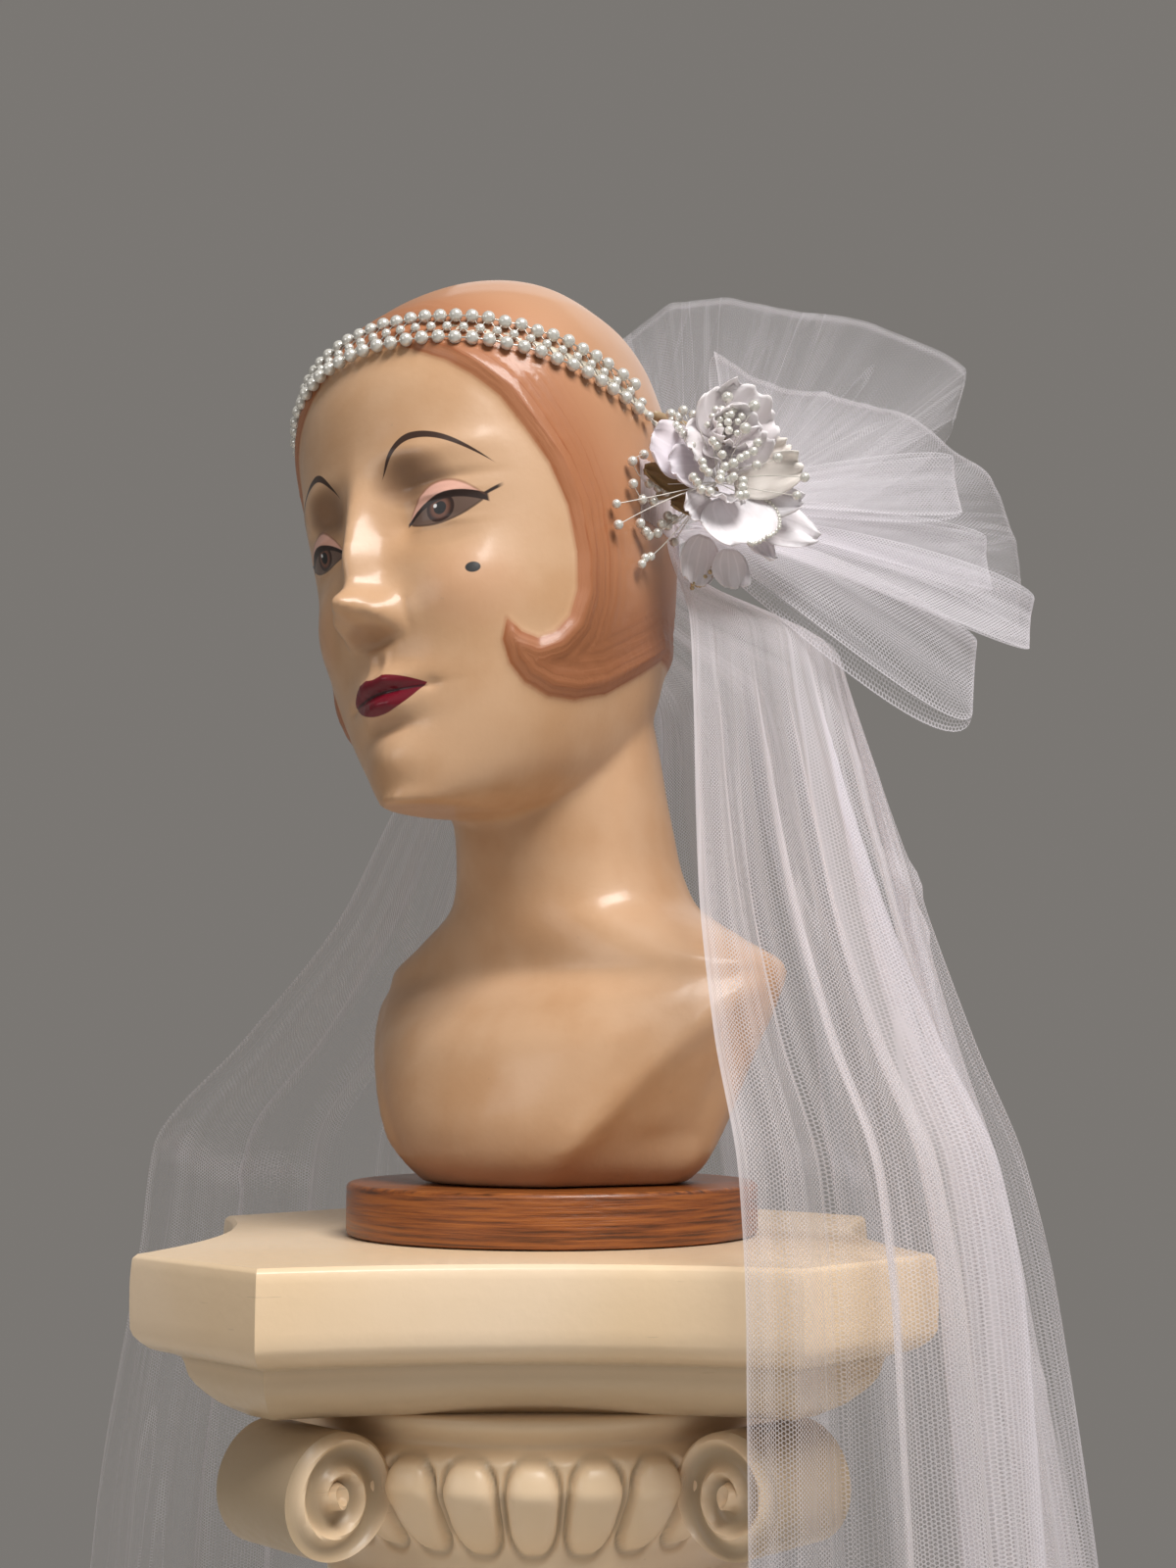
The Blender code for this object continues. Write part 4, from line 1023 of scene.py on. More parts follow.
def ball(sides=16, rings=9):
    """Points and faces of a unit ball."""
    lift = np.linspace(-math.pi / 2, math.pi / 2, rings + 1)[1:-1, None]
    turn = np.linspace(0, 2 * math.pi, sides, endpoint=False)[None, :]
    points = np.stack([np.cos(lift) * np.cos(turn), np.cos(lift) * np.sin(turn), np.sin(lift) + 0 * turn],
                      axis=2)
    points = np.concatenate([points.reshape(-1, 3), [[0, 0, -1], [0, 0, 1]]])
    faces = grid_faces(rings - 1, sides, closed=True).tolist()
    low = len(points) - 2
    last = (rings - 2) * sides
    for step in range(sides):
        after = (step + 1) % sides
        faces.append([after, step, low])
        faces.append([last + step, last + after, low + 1])
    return points, faces


def beads(name, centres, radii, material):
    """Many round beads as one mesh."""
    points, faces = ball()
    placed = [np.asarray(centre) + points * radius for centre, radius in zip(centres, radii)]
    joined = [[corner + number * len(points) for corner in face]
              for number in range(len(placed)) for face in faces]
    return add_mesh(name, np.concatenate(placed), joined, material)


def tubes(name, routes, radius, material, sides=6):
    """Round wires along routes of points, as one mesh."""
    points, faces, start = [], [], 0
    for route in routes:
        route = np.asarray(route, dtype=float)
        ahead = np.gradient(route, axis=0)
        ahead /= np.linalg.norm(ahead, axis=1, keepdims=True)
        guide = np.where(np.abs(ahead[:, 2:3]) < 0.9, [[0.0, 0.0, 1.0]], [[1.0, 0.0, 0.0]])
        side = np.cross(ahead, guide)
        side /= np.linalg.norm(side, axis=1, keepdims=True)
        over = np.cross(side, ahead)
        turn = np.linspace(0, 2 * math.pi, sides, endpoint=False)
        ring = side[:, None] * np.cos(turn)[None, :, None] + over[:, None] * np.sin(turn)[None, :, None]
        points.append((route[:, None] + radius * ring).reshape(-1, 3))
        faces += (grid_faces(len(route), sides, closed=True) + start).tolist()
        faces.append([start + corner for corner in range(sides)])
        faces.append([start + (len(route) - 1) * sides + corner for corner in reversed(range(sides))])
        start += len(route) * sides
    return add_mesh(name, np.concatenate(points), faces, material)


def band_height(degrees):
    """Height of the band's middle line round the head."""
    sine = np.sin(np.radians(degrees))
    return BAND_SIDE_HEIGHT - BAND_RISE * sine + BAND_BOW * sine * sine


def build_pearl_band(settings):
    """Three staggered rows of pearls on wire, and the plain band behind the head."""
    pitch = (PEARL_END - PEARL_START) / PEARL_COUNT
    outer = PEARL_START + pitch * (np.arange(PEARL_COUNT) + 0.5)
    middle = PEARL_START + pitch * np.arange(PEARL_COUNT + 1)
    radius = settings.pearl_size / 2
    wobble = np.random.default_rng(7).uniform(-1, 1, (4, PEARL_COUNT + 1))
    reach = 0.0058
    rows = []
    for side, row in ((1, 0), (-1, 1)):
        out = radius + 0.0010 + 0.0003 * wobble[row, :PEARL_COUNT]
        heights = band_height(outer) + side * reach + 0.0004 * wobble[row + 2, :PEARL_COUNT]
        rows.append(on_head(outer, heights, out))
    rows.append(on_head(middle, band_height(middle), radius * 0.8 + 0.0010))
    centres = np.concatenate(rows)
    radii = [radius] * (2 * PEARL_COUNT) + [radius * 0.72] * (PEARL_COUNT + 1)
    pearls = beads("band_pearls", centres, radii, pearl_finish("band_pearl", tuple(settings.pearl_colour)))
    seat(pearls, "pearl", "pearl_band")
    silver = wire_finish("silver_wire", (0.72, 0.70, 0.66), 0.9, 0.25)
    top, low, mid = rows
    zigzag_up = np.stack([mid[:-1], top], axis=1).reshape(-1, 3)
    zigzag_low = np.stack([mid[:-1], low], axis=1).reshape(-1, 3)
    seat(tubes("band_wires", [top, low, zigzag_up, zigzag_low], 0.00035, silver), "pearl", "pearl_band")
    turn = np.linspace(0, 360, 241)[:-1]
    across = np.array([-1.0, -0.9, -0.3, 0.3, 0.9, 1.0])
    out = np.array([0.0006, 0.0011, 0.0012, 0.0012, 0.0011, 0.0006])
    centre_line = band_height(turn)[:, None]
    ring = on_head(turn[:, None] + 0 * across, centre_line + across * 0.0030, out + 0 * turn[:, None])
    inner = on_head(turn[:, None] + 0 * across[:2], centre_line + across[[5, 0]] * 0.0028, 0.0004)
    sections = np.concatenate([ring, inner], axis=1)
    faces = grid_faces(len(turn), sections.shape[1], closed=True).tolist()
    count = sections.shape[1]
    last = (len(turn) - 1) * count
    faces += [[last + k, last + (k + 1) % count, (k + 1) % count, k] for k in range(count)]
    lay = np.stack([np.broadcast_to(turn[:, None] / 90, sections.shape[:2]),
                    np.broadcast_to(np.linspace(0, 1, count), sections.shape[:2])], axis=2)
    silk = petal_finish("ivory_ribbon", srgb(0.90, 0.87, 0.80), 1.0)
    seat(add_mesh("band_ribbon", sections, faces, silk, cloth=lay), "pearl", "pearl_band")


# Heart of the flowers and sprays; places around it are millimetres across, up and out to the front
HEART = np.array([0.0735, -0.052, 1.058])
CLUSTER_OUT = np.array([0.36, -0.93, 0.06])
CLUSTER_ACROSS = np.array([0.93, 0.36, 0.0])

# Where the two flowers' stalks leave the head and where they end
Stalk = namedtuple("Stalk", "node angle height stand_off end")
STALKS = [
    Stalk("flower_upper_stalk", 20.0, 0.337, 0.0029, (3.0, 19.0, 0.0)),
    Stalk("flower_lower_stalk", 16.0, 0.297, 0.0044, (0.0, -3.0, 0.0)),
]

# Petals: the cloth, where each starts, the way it points (0 right, 90 up, rise to the front), its
# length and half width, how much it cups and how pointed it is
Petal = namedtuple("Petal", "cloth start angle rise length half_width cup pointed")
PETALS = [
    Petal("silk", (4, 20, 1), 18, 12, 21, 12.0, 5, 0.0),
    Petal("silk", (4, 21, 2), 66, 14, 21, 13.0, 6, 0.0),
    Petal("silk", (2, 21, 1), 118, 12, 19, 11.5, 5, 0.0),
    Petal("silk", (0, 17, 1), 196, 14, 20, 11.0, 5, 0.0),
    Petal("silk", (3, 17, 1), 262, 20, 17, 11.0, 5, 0.0),
    Petal("silk", (4, 20, 4), 42, 38, 15, 9.0, 5, 0.0),
    Petal("silk", (3, 21, 4), 110, 40, 14, 9.0, 5, 0.0),
    Petal("silk", (1, 19, 4), 176, 40, 15, 9.0, 5, 0.0),
    Petal("silk", (3, 18, 4), 250, 42, 14, 9.0, 5, 0.0),
    Petal("silk", (5, 18, 4), 330, 40, 15, 9.0, 5, 0.0),
    Petal("ribbed", (-8, 10, -1), 163, 4, 24, 12.5, 3, 0.1),
    Petal("ribbed", (-6, 8, 1), 196, 8, 19, 10.0, 4, 0.2),
    Petal("cream", (6, 3, -1), 34, 8, 27, 9.5, 6, 0.5),
    Petal("cream", (7, 0, 1), 9, 20, 28, 9.5, 8, 0.2),
    Petal("silk", (6, 5, 2), 58, 22, 20, 9.0, 6, 0.3),
    Petal("organza", (8, -8, -1), -23, 6, 37, 11.0, 5, 0.6),
    Petal("organza", (7, -6, 1), -8, 14, 28, 8.5, 5, 0.7),
    Petal("organza", (-3, -6, 1), 222, 14, 19, 8.5, 4, 0.1),
    Petal("organza", (0, -4, 4), 262, 42, 17, 9.5, 5, 0.0),
    Petal("organza", (5, -26, -5), 275, -4, 17, 8.5, 2, 0.0),
    Petal("organza", (13, -17, -4), 305, 0, 17, 5.0, 3, 0.9),
    Petal("organza", (-5, -20, -6), 258, -6, 22, 9.0, 3, 0.1),
    Petal("gold", (-7, 3, -6), 174, -8, 25, 7.0, 3, 0.7),
    Petal("gold", (-3, -6, -4), 190, -6, 18, 6.0, 3, 0.7),
]
RIM_PEARL_RADIUS = 0.00095
RIMMED_PETAL = Petal("organza", (2, -6, 3), 292, 22, 28, 17.5, 4, 0.0)

# Pearls on clear stems, each from its tip towards the heart; over the head the last number is the
# gap from the head, elsewhere how far it stands out to the front
HEAD_STEMS = [
    [(-42, -13, 5)], [(-41, -22, 5)], [(-30, 14, 5), (-35, 9, 5), (-28, 2, 6)],
    [(-24, 0, 8), (-20.5, -1, 10), (-17, -1, 12)], [(-35, -1, 5), (-31, -7, 6), (-26.5, -7, 8)],
    [(-32, -18, 5), (-30, -20, 5.5), (-28, -22, 6), (-24.5, -20.5, 8)],
    [(-31, -34.5, 5), (-29.5, -32, 5.5), (-28, -30, 6)], [(-23, -16, 9), (-20, -15.5, 10)],
    [(-20, -11, 10), (-17, -12, 12)], [(-17, -20, 9)], [(-28, 34, 5)], [(-22, 28, 8)],
]
OPEN_STEMS = [
    [(-18.5, 27, 2), (-17, 24, 5), (-15.7, 21.6, 7), (-14.2, 18.8, 9), (-12.3, 16.4, 10), (-11, 13.6, 11)],
    [(-19, 30, 2), (-16, 28, 4)], [(-14, 30.5, 5)], [(-10, 28, 7)], [(-10.5, -1, 14), (-7.4, -6.5, 15)],
    [(-9, -3, 14), (-4, -8, 17)], [(-7, 4.6, 17), (-6.5, 2, 17), (-4.6, 0, 17)], [(-1, 11.4, 17)],
    [(-2.5, 13.3, 17)], [(1, 7, 19), (0.5, -0.5, 17)], [(5.6, 3.7, 18), (2.2, 2.5, 17)], [(0, -3.5, 19)],
    [(5.6, -2, 18), (4.3, -3.1, 17)], [(8, -9.6, 17), (9.3, -6.2, 17), (9.6, -3.1, 16)], [(10.2, -9.3, 17)],
    [(15.7, 13, 16), (13.9, 9, 17), (10.8, 7.4, 17), (8.6, 6.2, 17)], [(24, 7, 15)], [(35, -1, 14)],
    [(31.5, -9, 15)], [(15, 2.8, 18)], [(10.5, 18, 19)], [(14.8, 29.6, 13)], [(4, 34, 11)],
]
STAMENS = [
    (-1, 28.5, 12), (1.5, 28, 13), (-2.5, 24.7, 14), (0.3, 23, 15), (2.8, 25, 15), (6.2, 28, 13),
    (7.7, 22.2, 15), (3.7, 21.6, 16), (0.3, 19.7, 16), (4, 18.2, 16), (7.4, 17.3, 15), (5, 25.5, 14),
    (-4.5, 21.5, 13), (9.5, 25, 13),
]


def around_heart(across, up, out):
    """A world point from millimetres across, up and out to the front of the heart."""
    return HEART + np.array([across, -out, up]) / 1000


def before_head(across, up, gap):
    """A world point seen at a place around the heart, a gap in millimetres clear of the head."""
    angles, heights = np.meshgrid(np.linspace(-60, 60, 121), np.linspace(0.23, 0.40, 120))
    skin = on_head(angles, heights, gap / 1000).reshape(-1, 3)
    sought = around_heart(across, up, 0.0)
    return skin[((skin[:, [0, 2]] - sought[[0, 2]]) ** 2).sum(axis=1).argmin()]


def petal_points(origin, along, across, axis, length, half_width, cup, ruffle, seed, pointed=0.0):
    """Points of one cupped petal with a ruffled edge, and its cloth coordinates."""
    rows, columns = 15, 13
    share = np.linspace(0, 1, rows)[:, None]
    side = np.linspace(-1, 1, columns)[None, :]
    round_width = np.sqrt(np.clip(1 - ((share - 0.58) / 0.60) ** 2, 0.0, 1.0))
    point_width = np.sin(math.pi * np.clip(0.10 + 0.88 * share, 0, 1)) ** 0.8
    width = half_width * (round_width * (1 - pointed) + point_width * pointed)
    width = np.maximum(width, 0.0012)
    edge = share * np.abs(side) ** 2 + share ** 4
    wave = ruffle * edge * np.sin(7.0 * side + 5.0 * share + seed * 2.1)
    rise = cup * (share ** 1.7 + 0.30 * side * side * share) + wave + 0.0004 * np.cos(side * 19.0) * share
    forward = length * share * (1 - 0.10 * side * side * (1 - pointed)) + 0.3 * wave
    points = (origin + along * forward[..., None] + across * (width * side)[..., None]
              + axis * rise[..., None])
    lay = np.stack([side + 0 * share, share + 0 * side], axis=2)
    return points, lay


def petal_sheets(name, petals, material, thickness=0.0004):
    """Thin closed petals as one mesh."""
    points, faces, lays, start = [], [], [], 0
    for grid, lay in petals:
        rows, columns = grid.shape[:2]
        normal = np.cross(np.gradient(grid, axis=1), np.gradient(grid, axis=0))
        normal /= np.maximum(np.linalg.norm(normal, axis=2, keepdims=True), 1e-9)
        count = rows * columns
        points += [(grid + side * normal * thickness / 2).reshape(-1, 3) for side in (1, -1)]
        lays += [lay.reshape(-1, 2)] * 2
        sheet = grid_faces(rows, columns)
        faces += (sheet + start).tolist() + (sheet[:, ::-1] + start + count).tolist()
        index = np.arange(count).reshape(rows, columns)
        border = np.concatenate([index[0, :-1], index[:-1, -1], index[-1, :0:-1], index[:0:-1, 0]])
        after = np.roll(border, -1)
        faces += (np.stack([border, border + count, after + count, after], axis=1) + start).tolist()
        start += 2 * count
    return add_mesh(name, np.concatenate(points), faces, material, cloth=np.concatenate(lays))


def table_petal(petal, seed):
    """One petal of the table, with its own directions."""
    turn, rise = math.radians(petal.angle), math.radians(petal.rise)
    out = CLUSTER_OUT / np.linalg.norm(CLUSTER_OUT)
    right = CLUSTER_ACROSS / np.linalg.norm(CLUSTER_ACROSS)
    radial = right * math.cos(turn) + np.array([0.0, 0.0, math.sin(turn)])
    along = radial * math.cos(rise) + out * math.sin(rise)
    axis = out * math.cos(rise) - radial * math.sin(rise)
    return petal_points(around_heart(*petal.start), along, np.cross(axis, along), axis, petal.length / 1000,
                        petal.half_width / 1000, petal.cup / 1000, 0.0014, seed, petal.pointed)


def build_flowers(settings):
    """Silk, organza and ribbed petals, the leaves behind them and the petal rimmed with pearls."""
    cloths = {
        "silk": petal_finish("silk_petal", tuple(settings.silk_colour), 0.95),
        "cream": petal_finish("cream_petal", srgb(0.975, 0.95, 0.925), 0.97),
        "organza": petal_finish("organza_petal", srgb(0.98, 0.965, 0.98), 0.86),
        "ribbed": petal_finish("ribbed_petal", srgb(0.96, 0.935, 0.965), 0.92),
        "gold": petal_finish("gold_leaf", srgb(0.62, 0.50, 0.32), 1.0),
    }
    stands_for = {"silk": [f"flower_upper_petal_{number}" for number in range(1, 6)],
                  "organza": [f"flower_lower_petal_{number}" for number in range(1, 6)]}
    for name, cloth in cloths.items():
        petals = [table_petal(petal, number) for number, petal in enumerate(PETALS) if petal.cloth == name]
        seat(petal_sheets(name + "_petals", petals, cloth), "petal_silk", *stands_for.get(name, []))
    for stalk in STALKS:
        share = np.linspace(0, 1, 12)[:, None]
        start = on_head(stalk.angle, stalk.height, stalk.stand_off)
        route = start * (1 - share) + around_heart(*stalk.end) * share
        wrapped = tubes(stalk.node + "_wrapped", [route], 0.0022, cloths["gold"], sides=14)
        seat(wrapped, "petal_silk", stalk.node)
    grid, lay = table_petal(RIMMED_PETAL, 3)
    seat(petal_sheets("rimmed_petal", [(grid, lay)], cloths["organza"]), "petal_silk")
    rim = np.concatenate([grid[5:, -1], grid[-1, -2:2:-1]])
    centres = spaced(rim, 2 * RIM_PEARL_RADIUS)
    seat(beads("rim_pearls", centres, [RIM_PEARL_RADIUS] * len(centres),
               pearl_finish("rim_pearl", tuple(settings.pearl_colour))), "pearl")


def spaced(route, gap):
    """Points at even gaps along a route."""
    run = np.concatenate([[0.0], np.cumsum(np.linalg.norm(np.diff(route, axis=0), axis=1))])
    at = np.arange(0.0, run[-1], gap)
    return np.stack([np.interp(at, run, route[:, k]) for k in range(3)], axis=1)


def stem_route(stops, bow):
    """A smooth stem through its stops, bowed a little on the way."""
    run = np.concatenate([[0.0], np.cumsum(np.linalg.norm(np.diff(stops, axis=0), axis=1))])
    at = np.linspace(0.0, run[-1], 16)
    route = np.stack([curve_through(list(run), list(stops[:, k]), at) for k in range(3)], axis=1) \
        if len(stops) > 2 else stops[0] + (stops[1] - stops[0]) * (at / run[-1])[:, None]
    return route + bow * np.sin(math.pi * at / run[-1])[:, None]


def build_pearl_sprays(settings):
    """Pearls on clear stems over the flowers and the hair, and the gold beads below."""
    heart = around_heart(0.0, 0.0, 4.0)
    centres, radii, routes = [], [], []
    stems = [[before_head(*pearl) for pearl in stem] for stem in HEAD_STEMS]
    stems += [[around_heart(*pearl) for pearl in stem] for stem in OPEN_STEMS]
    for number, stem in enumerate(stems):
        bow = np.array([0.0, -0.0016, 0.0012 if number % 2 else -0.0008])
        routes.append(stem_route(np.array(stem + [heart]), bow if len(stem) == 1 else 0 * bow))
        centres += stem
        big = number >= len(stems) - 3
        radii += [0.0025 if big else 0.0021 if number % 3 else 0.0019] * len(stem)
    flower_heart = around_heart(3.0, 20.0, 3.0)
    for number, stamen in enumerate(STAMENS):
        tip = around_heart(*stamen)
        routes.append(stem_route(np.array([tip, flower_heart]), np.array([0.0003, 0.0, 0.0004])))
        centres.append(tip)
        radii.append(0.0018 if number % 2 else 0.0015)
    pearl = pearl_finish("spray_pearl", tuple(settings.pearl_colour))
    seat(beads("spray_pearls", centres, radii, pearl), "pearl")
    clear = wire_finish("clear_stem", (0.80, 0.76, 0.70), 0.0, 0.15)
    seat(tubes("spray_stems", routes, 0.00022, clear, sides=5), "pearl")
    draw = np.random.default_rng(11)
    gold = [around_heart(-10.5 + 10.0 * place + 2.2 * draw.random(),
                         -41.0 + 9.0 * place - 2.6 * draw.random(),
                         -8.0 + 3.0 * draw.random()) for place in np.linspace(0, 1, 30)]
    golden = pearl_finish("gold_bead", srgb(0.76, 0.66, 0.50))
    seat(beads("gold_beads", gold, [0.0010] * len(gold), golden), "pearl")


def hair_depth(x, y, height):
    """How far inside the edge of the moulded hair each place lies, in metres, negative outside."""
    girth = read_rows(HEAD, np.clip(height, HEAD[0].height, HEAD[-1].height))
    depth = np.where(y > girth.centre, girth.back, girth.front)
    angle = np.arctan2((y - girth.centre) / depth, np.abs(x) / girth.half_width)
    across = angle * HAIR_SCALE
    edge = np.array([(math.radians(point.angle) * HAIR_SCALE, point.height) for point in HAIR_EDGE])
    nearest = np.full(x.shape, 1.0)
    inside = np.zeros(x.shape, dtype=bool)
    for here, after in zip(edge, np.roll(edge, -1, axis=0)):
        run = after - here
        hidden_seam = abs(run[0]) < 1e-9 or min(here[1], after[1]) > 0.45
        share = np.clip(((across - here[0]) * run[0] + (height - here[1]) * run[1]) / (run @ run), 0.0, 1.0)
        gap = np.hypot(across - here[0] - run[0] * share, height - here[1] - run[1] * share)
        if not hidden_seam:
            nearest = np.minimum(nearest, gap)
        crosses = (here[1] > height) != (after[1] > height)
        rise = np.where(abs(run[1]) > 1e-12, run[1], 1.0)
        inside ^= crosses & (across < here[0] + run[0] * (height - here[1]) / rise)
    return np.where(inside, nearest, -nearest)


def closed_rings(rings):
    """Points and faces of a closed form through rings."""
    rings = np.asarray(rings)
    count = rings.shape[1]
    faces = grid_faces(len(rings), count, closed=True).tolist()
    last = (len(rings) - 1) * count
    faces += [list(range(count))[::-1], [last + k for k in range(count)]]
    return rings.reshape(-1, 3), faces


def apply_modifiers(piece):
    """Keep a piece's mesh as its modifiers make it, and remove them."""
    graph = bpy.context.evaluated_depsgraph_get()
    mesh = bpy.data.meshes.new_from_object(piece.evaluated_get(graph))
    old = piece.data
    piece.modifiers.clear()
    piece.data = mesh
    bpy.data.meshes.remove(old)


def bust_ridge(height):
    """How far aside the chest plate's slanting ridge runs at a height."""
    return 0.034 + (np.clip(height, 0.0, 0.118) - 0.022) * (0.104 - 0.034) / 0.086


def cut_bust(x, y, height):
    """The chest plate cut back beyond a slanting ridge that runs from each shoulder to the foot."""
    ridge = bust_ridge(height)
    girth = read_rows(BUST, height)
    share = np.clip(ridge / girth.half_width, 0.0, 1.0)
    ridge_y = girth.centre - girth.front * np.sqrt(1 - share * share)
    slope = 1.9
    over = slope * (np.abs(x) - ridge) - (y - ridge_y)
    reach = slope * np.abs(x) - (y - girth.centre)
    wanted = slope * ridge - (ridge_y - girth.centre)
    scale = np.where((over > 0) & (height < 0.118) & (reach > 1e-6), wanted / np.maximum(reach, 1e-6), 1.0)
    blend = ease(0.118, 0.106, height)
    scale = 1 + (scale - 1) * blend
    return x * scale, girth.centre + (y - girth.centre) * scale


def build_display_head(settings):
    """Bust, neck and head in one glossy painted shell, with the moulded face and hair."""
    angles = np.arange(0, 360, 3)
    heights = np.linspace(BUST[0].height, BUST[-1].height, 90)
    tall = heights[:, None] + 0 * angles
    bust = to_world(*cut_bust(*girth_point(read_rows(BUST, tall), angles), tall), tall)
    head_angles = np.concatenate([np.arange(-150, -30, 1.5), np.arange(-30, 210, 4)])
    heights = HEAD[0].height + (HEAD[-1].height - HEAD[0].height) * (
        0.5 - 0.5 * np.cos(np.pi * np.linspace(0, 1, 150)))
    tall = heights[:, None] + 0 * head_angles
    x, y = girth_point(read_rows(HEAD, tall), head_angles)
    front = ease(0.0, 0.5, -np.sin(np.radians(head_angles)))
    skull = to_world(x, y - front * form_push(FACE, x, tall), tall)
    bust_points, bust_faces = closed_rings(bust)
    skull_points, skull_faces = closed_rings(skull)
    faces = bust_faces + [[corner + len(bust_points) for corner in face] for face in skull_faces]
    skin = skin_finish(settings)
    head = add_mesh("display_head_painted", np.concatenate([bust_points, skull_points]), faces, skin)
    remesh = head.modifiers.new("one_skin", "REMESH")
    remesh.mode = "VOXEL"
    remesh.voxel_size = SKIN_VOXEL
    smooth = head.modifiers.new("soft_joins", "SMOOTH")
    smooth.factor = 0.5
    smooth.iterations = 5
    apply_modifiers(head)
    refine_face(head)
    mould_face(head)
    head.data.materials.clear()
    head.data.materials.append(skin)
    head.data.shade_smooth()
    seat(head, "glossy_skin", "display_head")


def mesh_points(mesh):
    """The points of a mesh as an array."""
    points = np.empty(len(mesh.vertices) * 3)
    mesh.vertices.foreach_get("co", points)
    return points.reshape(-1, 3)


def refine_face(head):
    """Finer faces over the features and along the hair's edge."""
    x, y, height = to_wearer(mesh_points(head.data))
    features = (y < -0.085) & (height > 0.196) & (height < 0.322) & (np.abs(x) < 0.058)
    lock = (np.abs(hair_depth(x, y, height)) < 0.008) & (height > 0.195) & (y < 0.02)
    chosen = features | lock
    shell = bmesh.new()
    shell.from_mesh(head.data)
    shell.verts.ensure_lookup_table()
    edges = [edge for edge in shell.edges if all(chosen[vertex.index] for vertex in edge.verts)]
    bmesh.ops.subdivide_edges(shell, edges=edges, cuts=1, use_grid_fill=True)
    shell.to_mesh(head.data)
    shell.free()


def relax(mesh, points, chosen, times):
    """Chosen points moved towards the middle of their neighbours, in place."""
    ends = np.empty(len(mesh.edges) * 2, dtype=np.int64)
    mesh.edges.foreach_get("vertices", ends)
    first, second = ends.reshape(-1, 2).T
    neighbours = np.bincount(ends, minlength=len(points))
    for step in range(times):
        total = np.zeros_like(points)
        np.add.at(total, first, points[second])
        np.add.at(total, second, points[first])
        points[chosen] += 0.5 * (total[chosen] / neighbours[chosen, None] - points[chosen])


def mould_face(head):
    """Lids, lips, nostrils, the raised lock of hair and its grooves, and the bust's cut ridge."""
    mesh = head.data
    points = mesh_points(mesh)
    normals = np.empty(len(points) * 3)
    mesh.vertex_normals.foreach_get("vector", normals)
    normals = normals.reshape(-1, 3)
    x, y, height = to_wearer(points)
    depth = hair_depth(x, y, height)
    forward = np.array([math.sin(HEAD_TURN), -math.cos(HEAD_TURN), 0.0])
    face = ease(-0.070, -0.092, y)
    points += forward * (face * form_push(FINE_FACE, x, height))[:, None]
    raised = 0.0012 * ease(-0.0012, 0.0036, depth) + 0.0016 * np.exp(-((depth - 0.0065) / 0.0045) ** 2)
    grooves = 0.00035 * np.sin(depth * 1500.0) * ease(0.002, 0.006, depth) * ease(0.034, 0.014, depth)
    under_band = ease(0.030, 0.018, height - band_height(-60.0))
    points += normals * ((raised + grooves) * under_band * (height > HAIR_LOW))[:, None]
    beyond = (np.abs(x) - bust_ridge(height)) * 0.78
    ridge = 0.0026 * np.exp(-(beyond / 0.0040) ** 2)
    hollow = 0.0050 * np.exp(-((beyond - 0.021) / 0.012) ** 2) * (beyond > 0)
    chest = ease(0.026, 0.042, height) * ease(0.112, 0.096, height) * ease(0.004, -0.012, y)
    points += normals * ((ridge - hollow) * chest)[:, None]
    relax(mesh, points, (np.abs(depth) < 0.010) & (height > 0.195) & (height < 0.36), 8)
    mesh.vertices.foreach_set("co", points.ravel())
    mesh.update()
    x, y, height = to_wearer(points)
    keep_values(mesh, {"hair_depth": np.where(height > HAIR_LOW, depth, -0.02)},
                {"wearer": np.stack([x, y, height], axis=1)})


def turned(name, profile, material, centre_x=0.0, steps=96, hollows=None):
    """A form turned about an upright axis from (radius, height) pairs, bottom first."""
    turn = np.linspace(0, 2 * math.pi, steps, endpoint=False)
    rings = [np.stack([centre_x + radius * np.cos(turn), radius * np.sin(turn), height + 0 * turn], axis=1)
             for radius, height in profile]
    points, faces = closed_rings(rings)
    values = {"hollow": np.repeat(hollows if hollows is not None else np.zeros(len(profile)), steps)}
    piece = add_mesh(name, points, faces, material, values=values)
    piece.data.set_sharp_from_angle(angle=math.radians(38))
    return piece


# The wooden foot
FOOT_X = 0.005
FOOT_RADIUS = 0.086
FOOT_HEIGHT = 0.0215
FOOT_ROUNDING = 0.0022


def build_foot(settings):
    """The round wooden foot."""
    low = PEDESTAL_TOP + SEAM_GAP
    high = PEDESTAL_TOP + FOOT_HEIGHT
    profile = [(FOOT_RADIUS - 0.0020, low), (FOOT_RADIUS - 0.0006, low + 0.0006), (FOOT_RADIUS, low + 0.0020),
               (FOOT_RADIUS, low + 0.008)]
    for step in range(9):
        angle = math.pi / 2 * step / 8
        profile.append((FOOT_RADIUS - FOOT_ROUNDING * (1 - math.cos(angle)),
                        high - FOOT_ROUNDING * (1 - math.sin(angle))))
    profile += [(radius, high) for radius in (0.070, 0.050, 0.020)]
    foot = turned("foot_turned", profile, wood_finish(tuple(settings.wood_colour)), centre_x=FOOT_X)
    seat(foot, "stained_wood", "wood_foot")


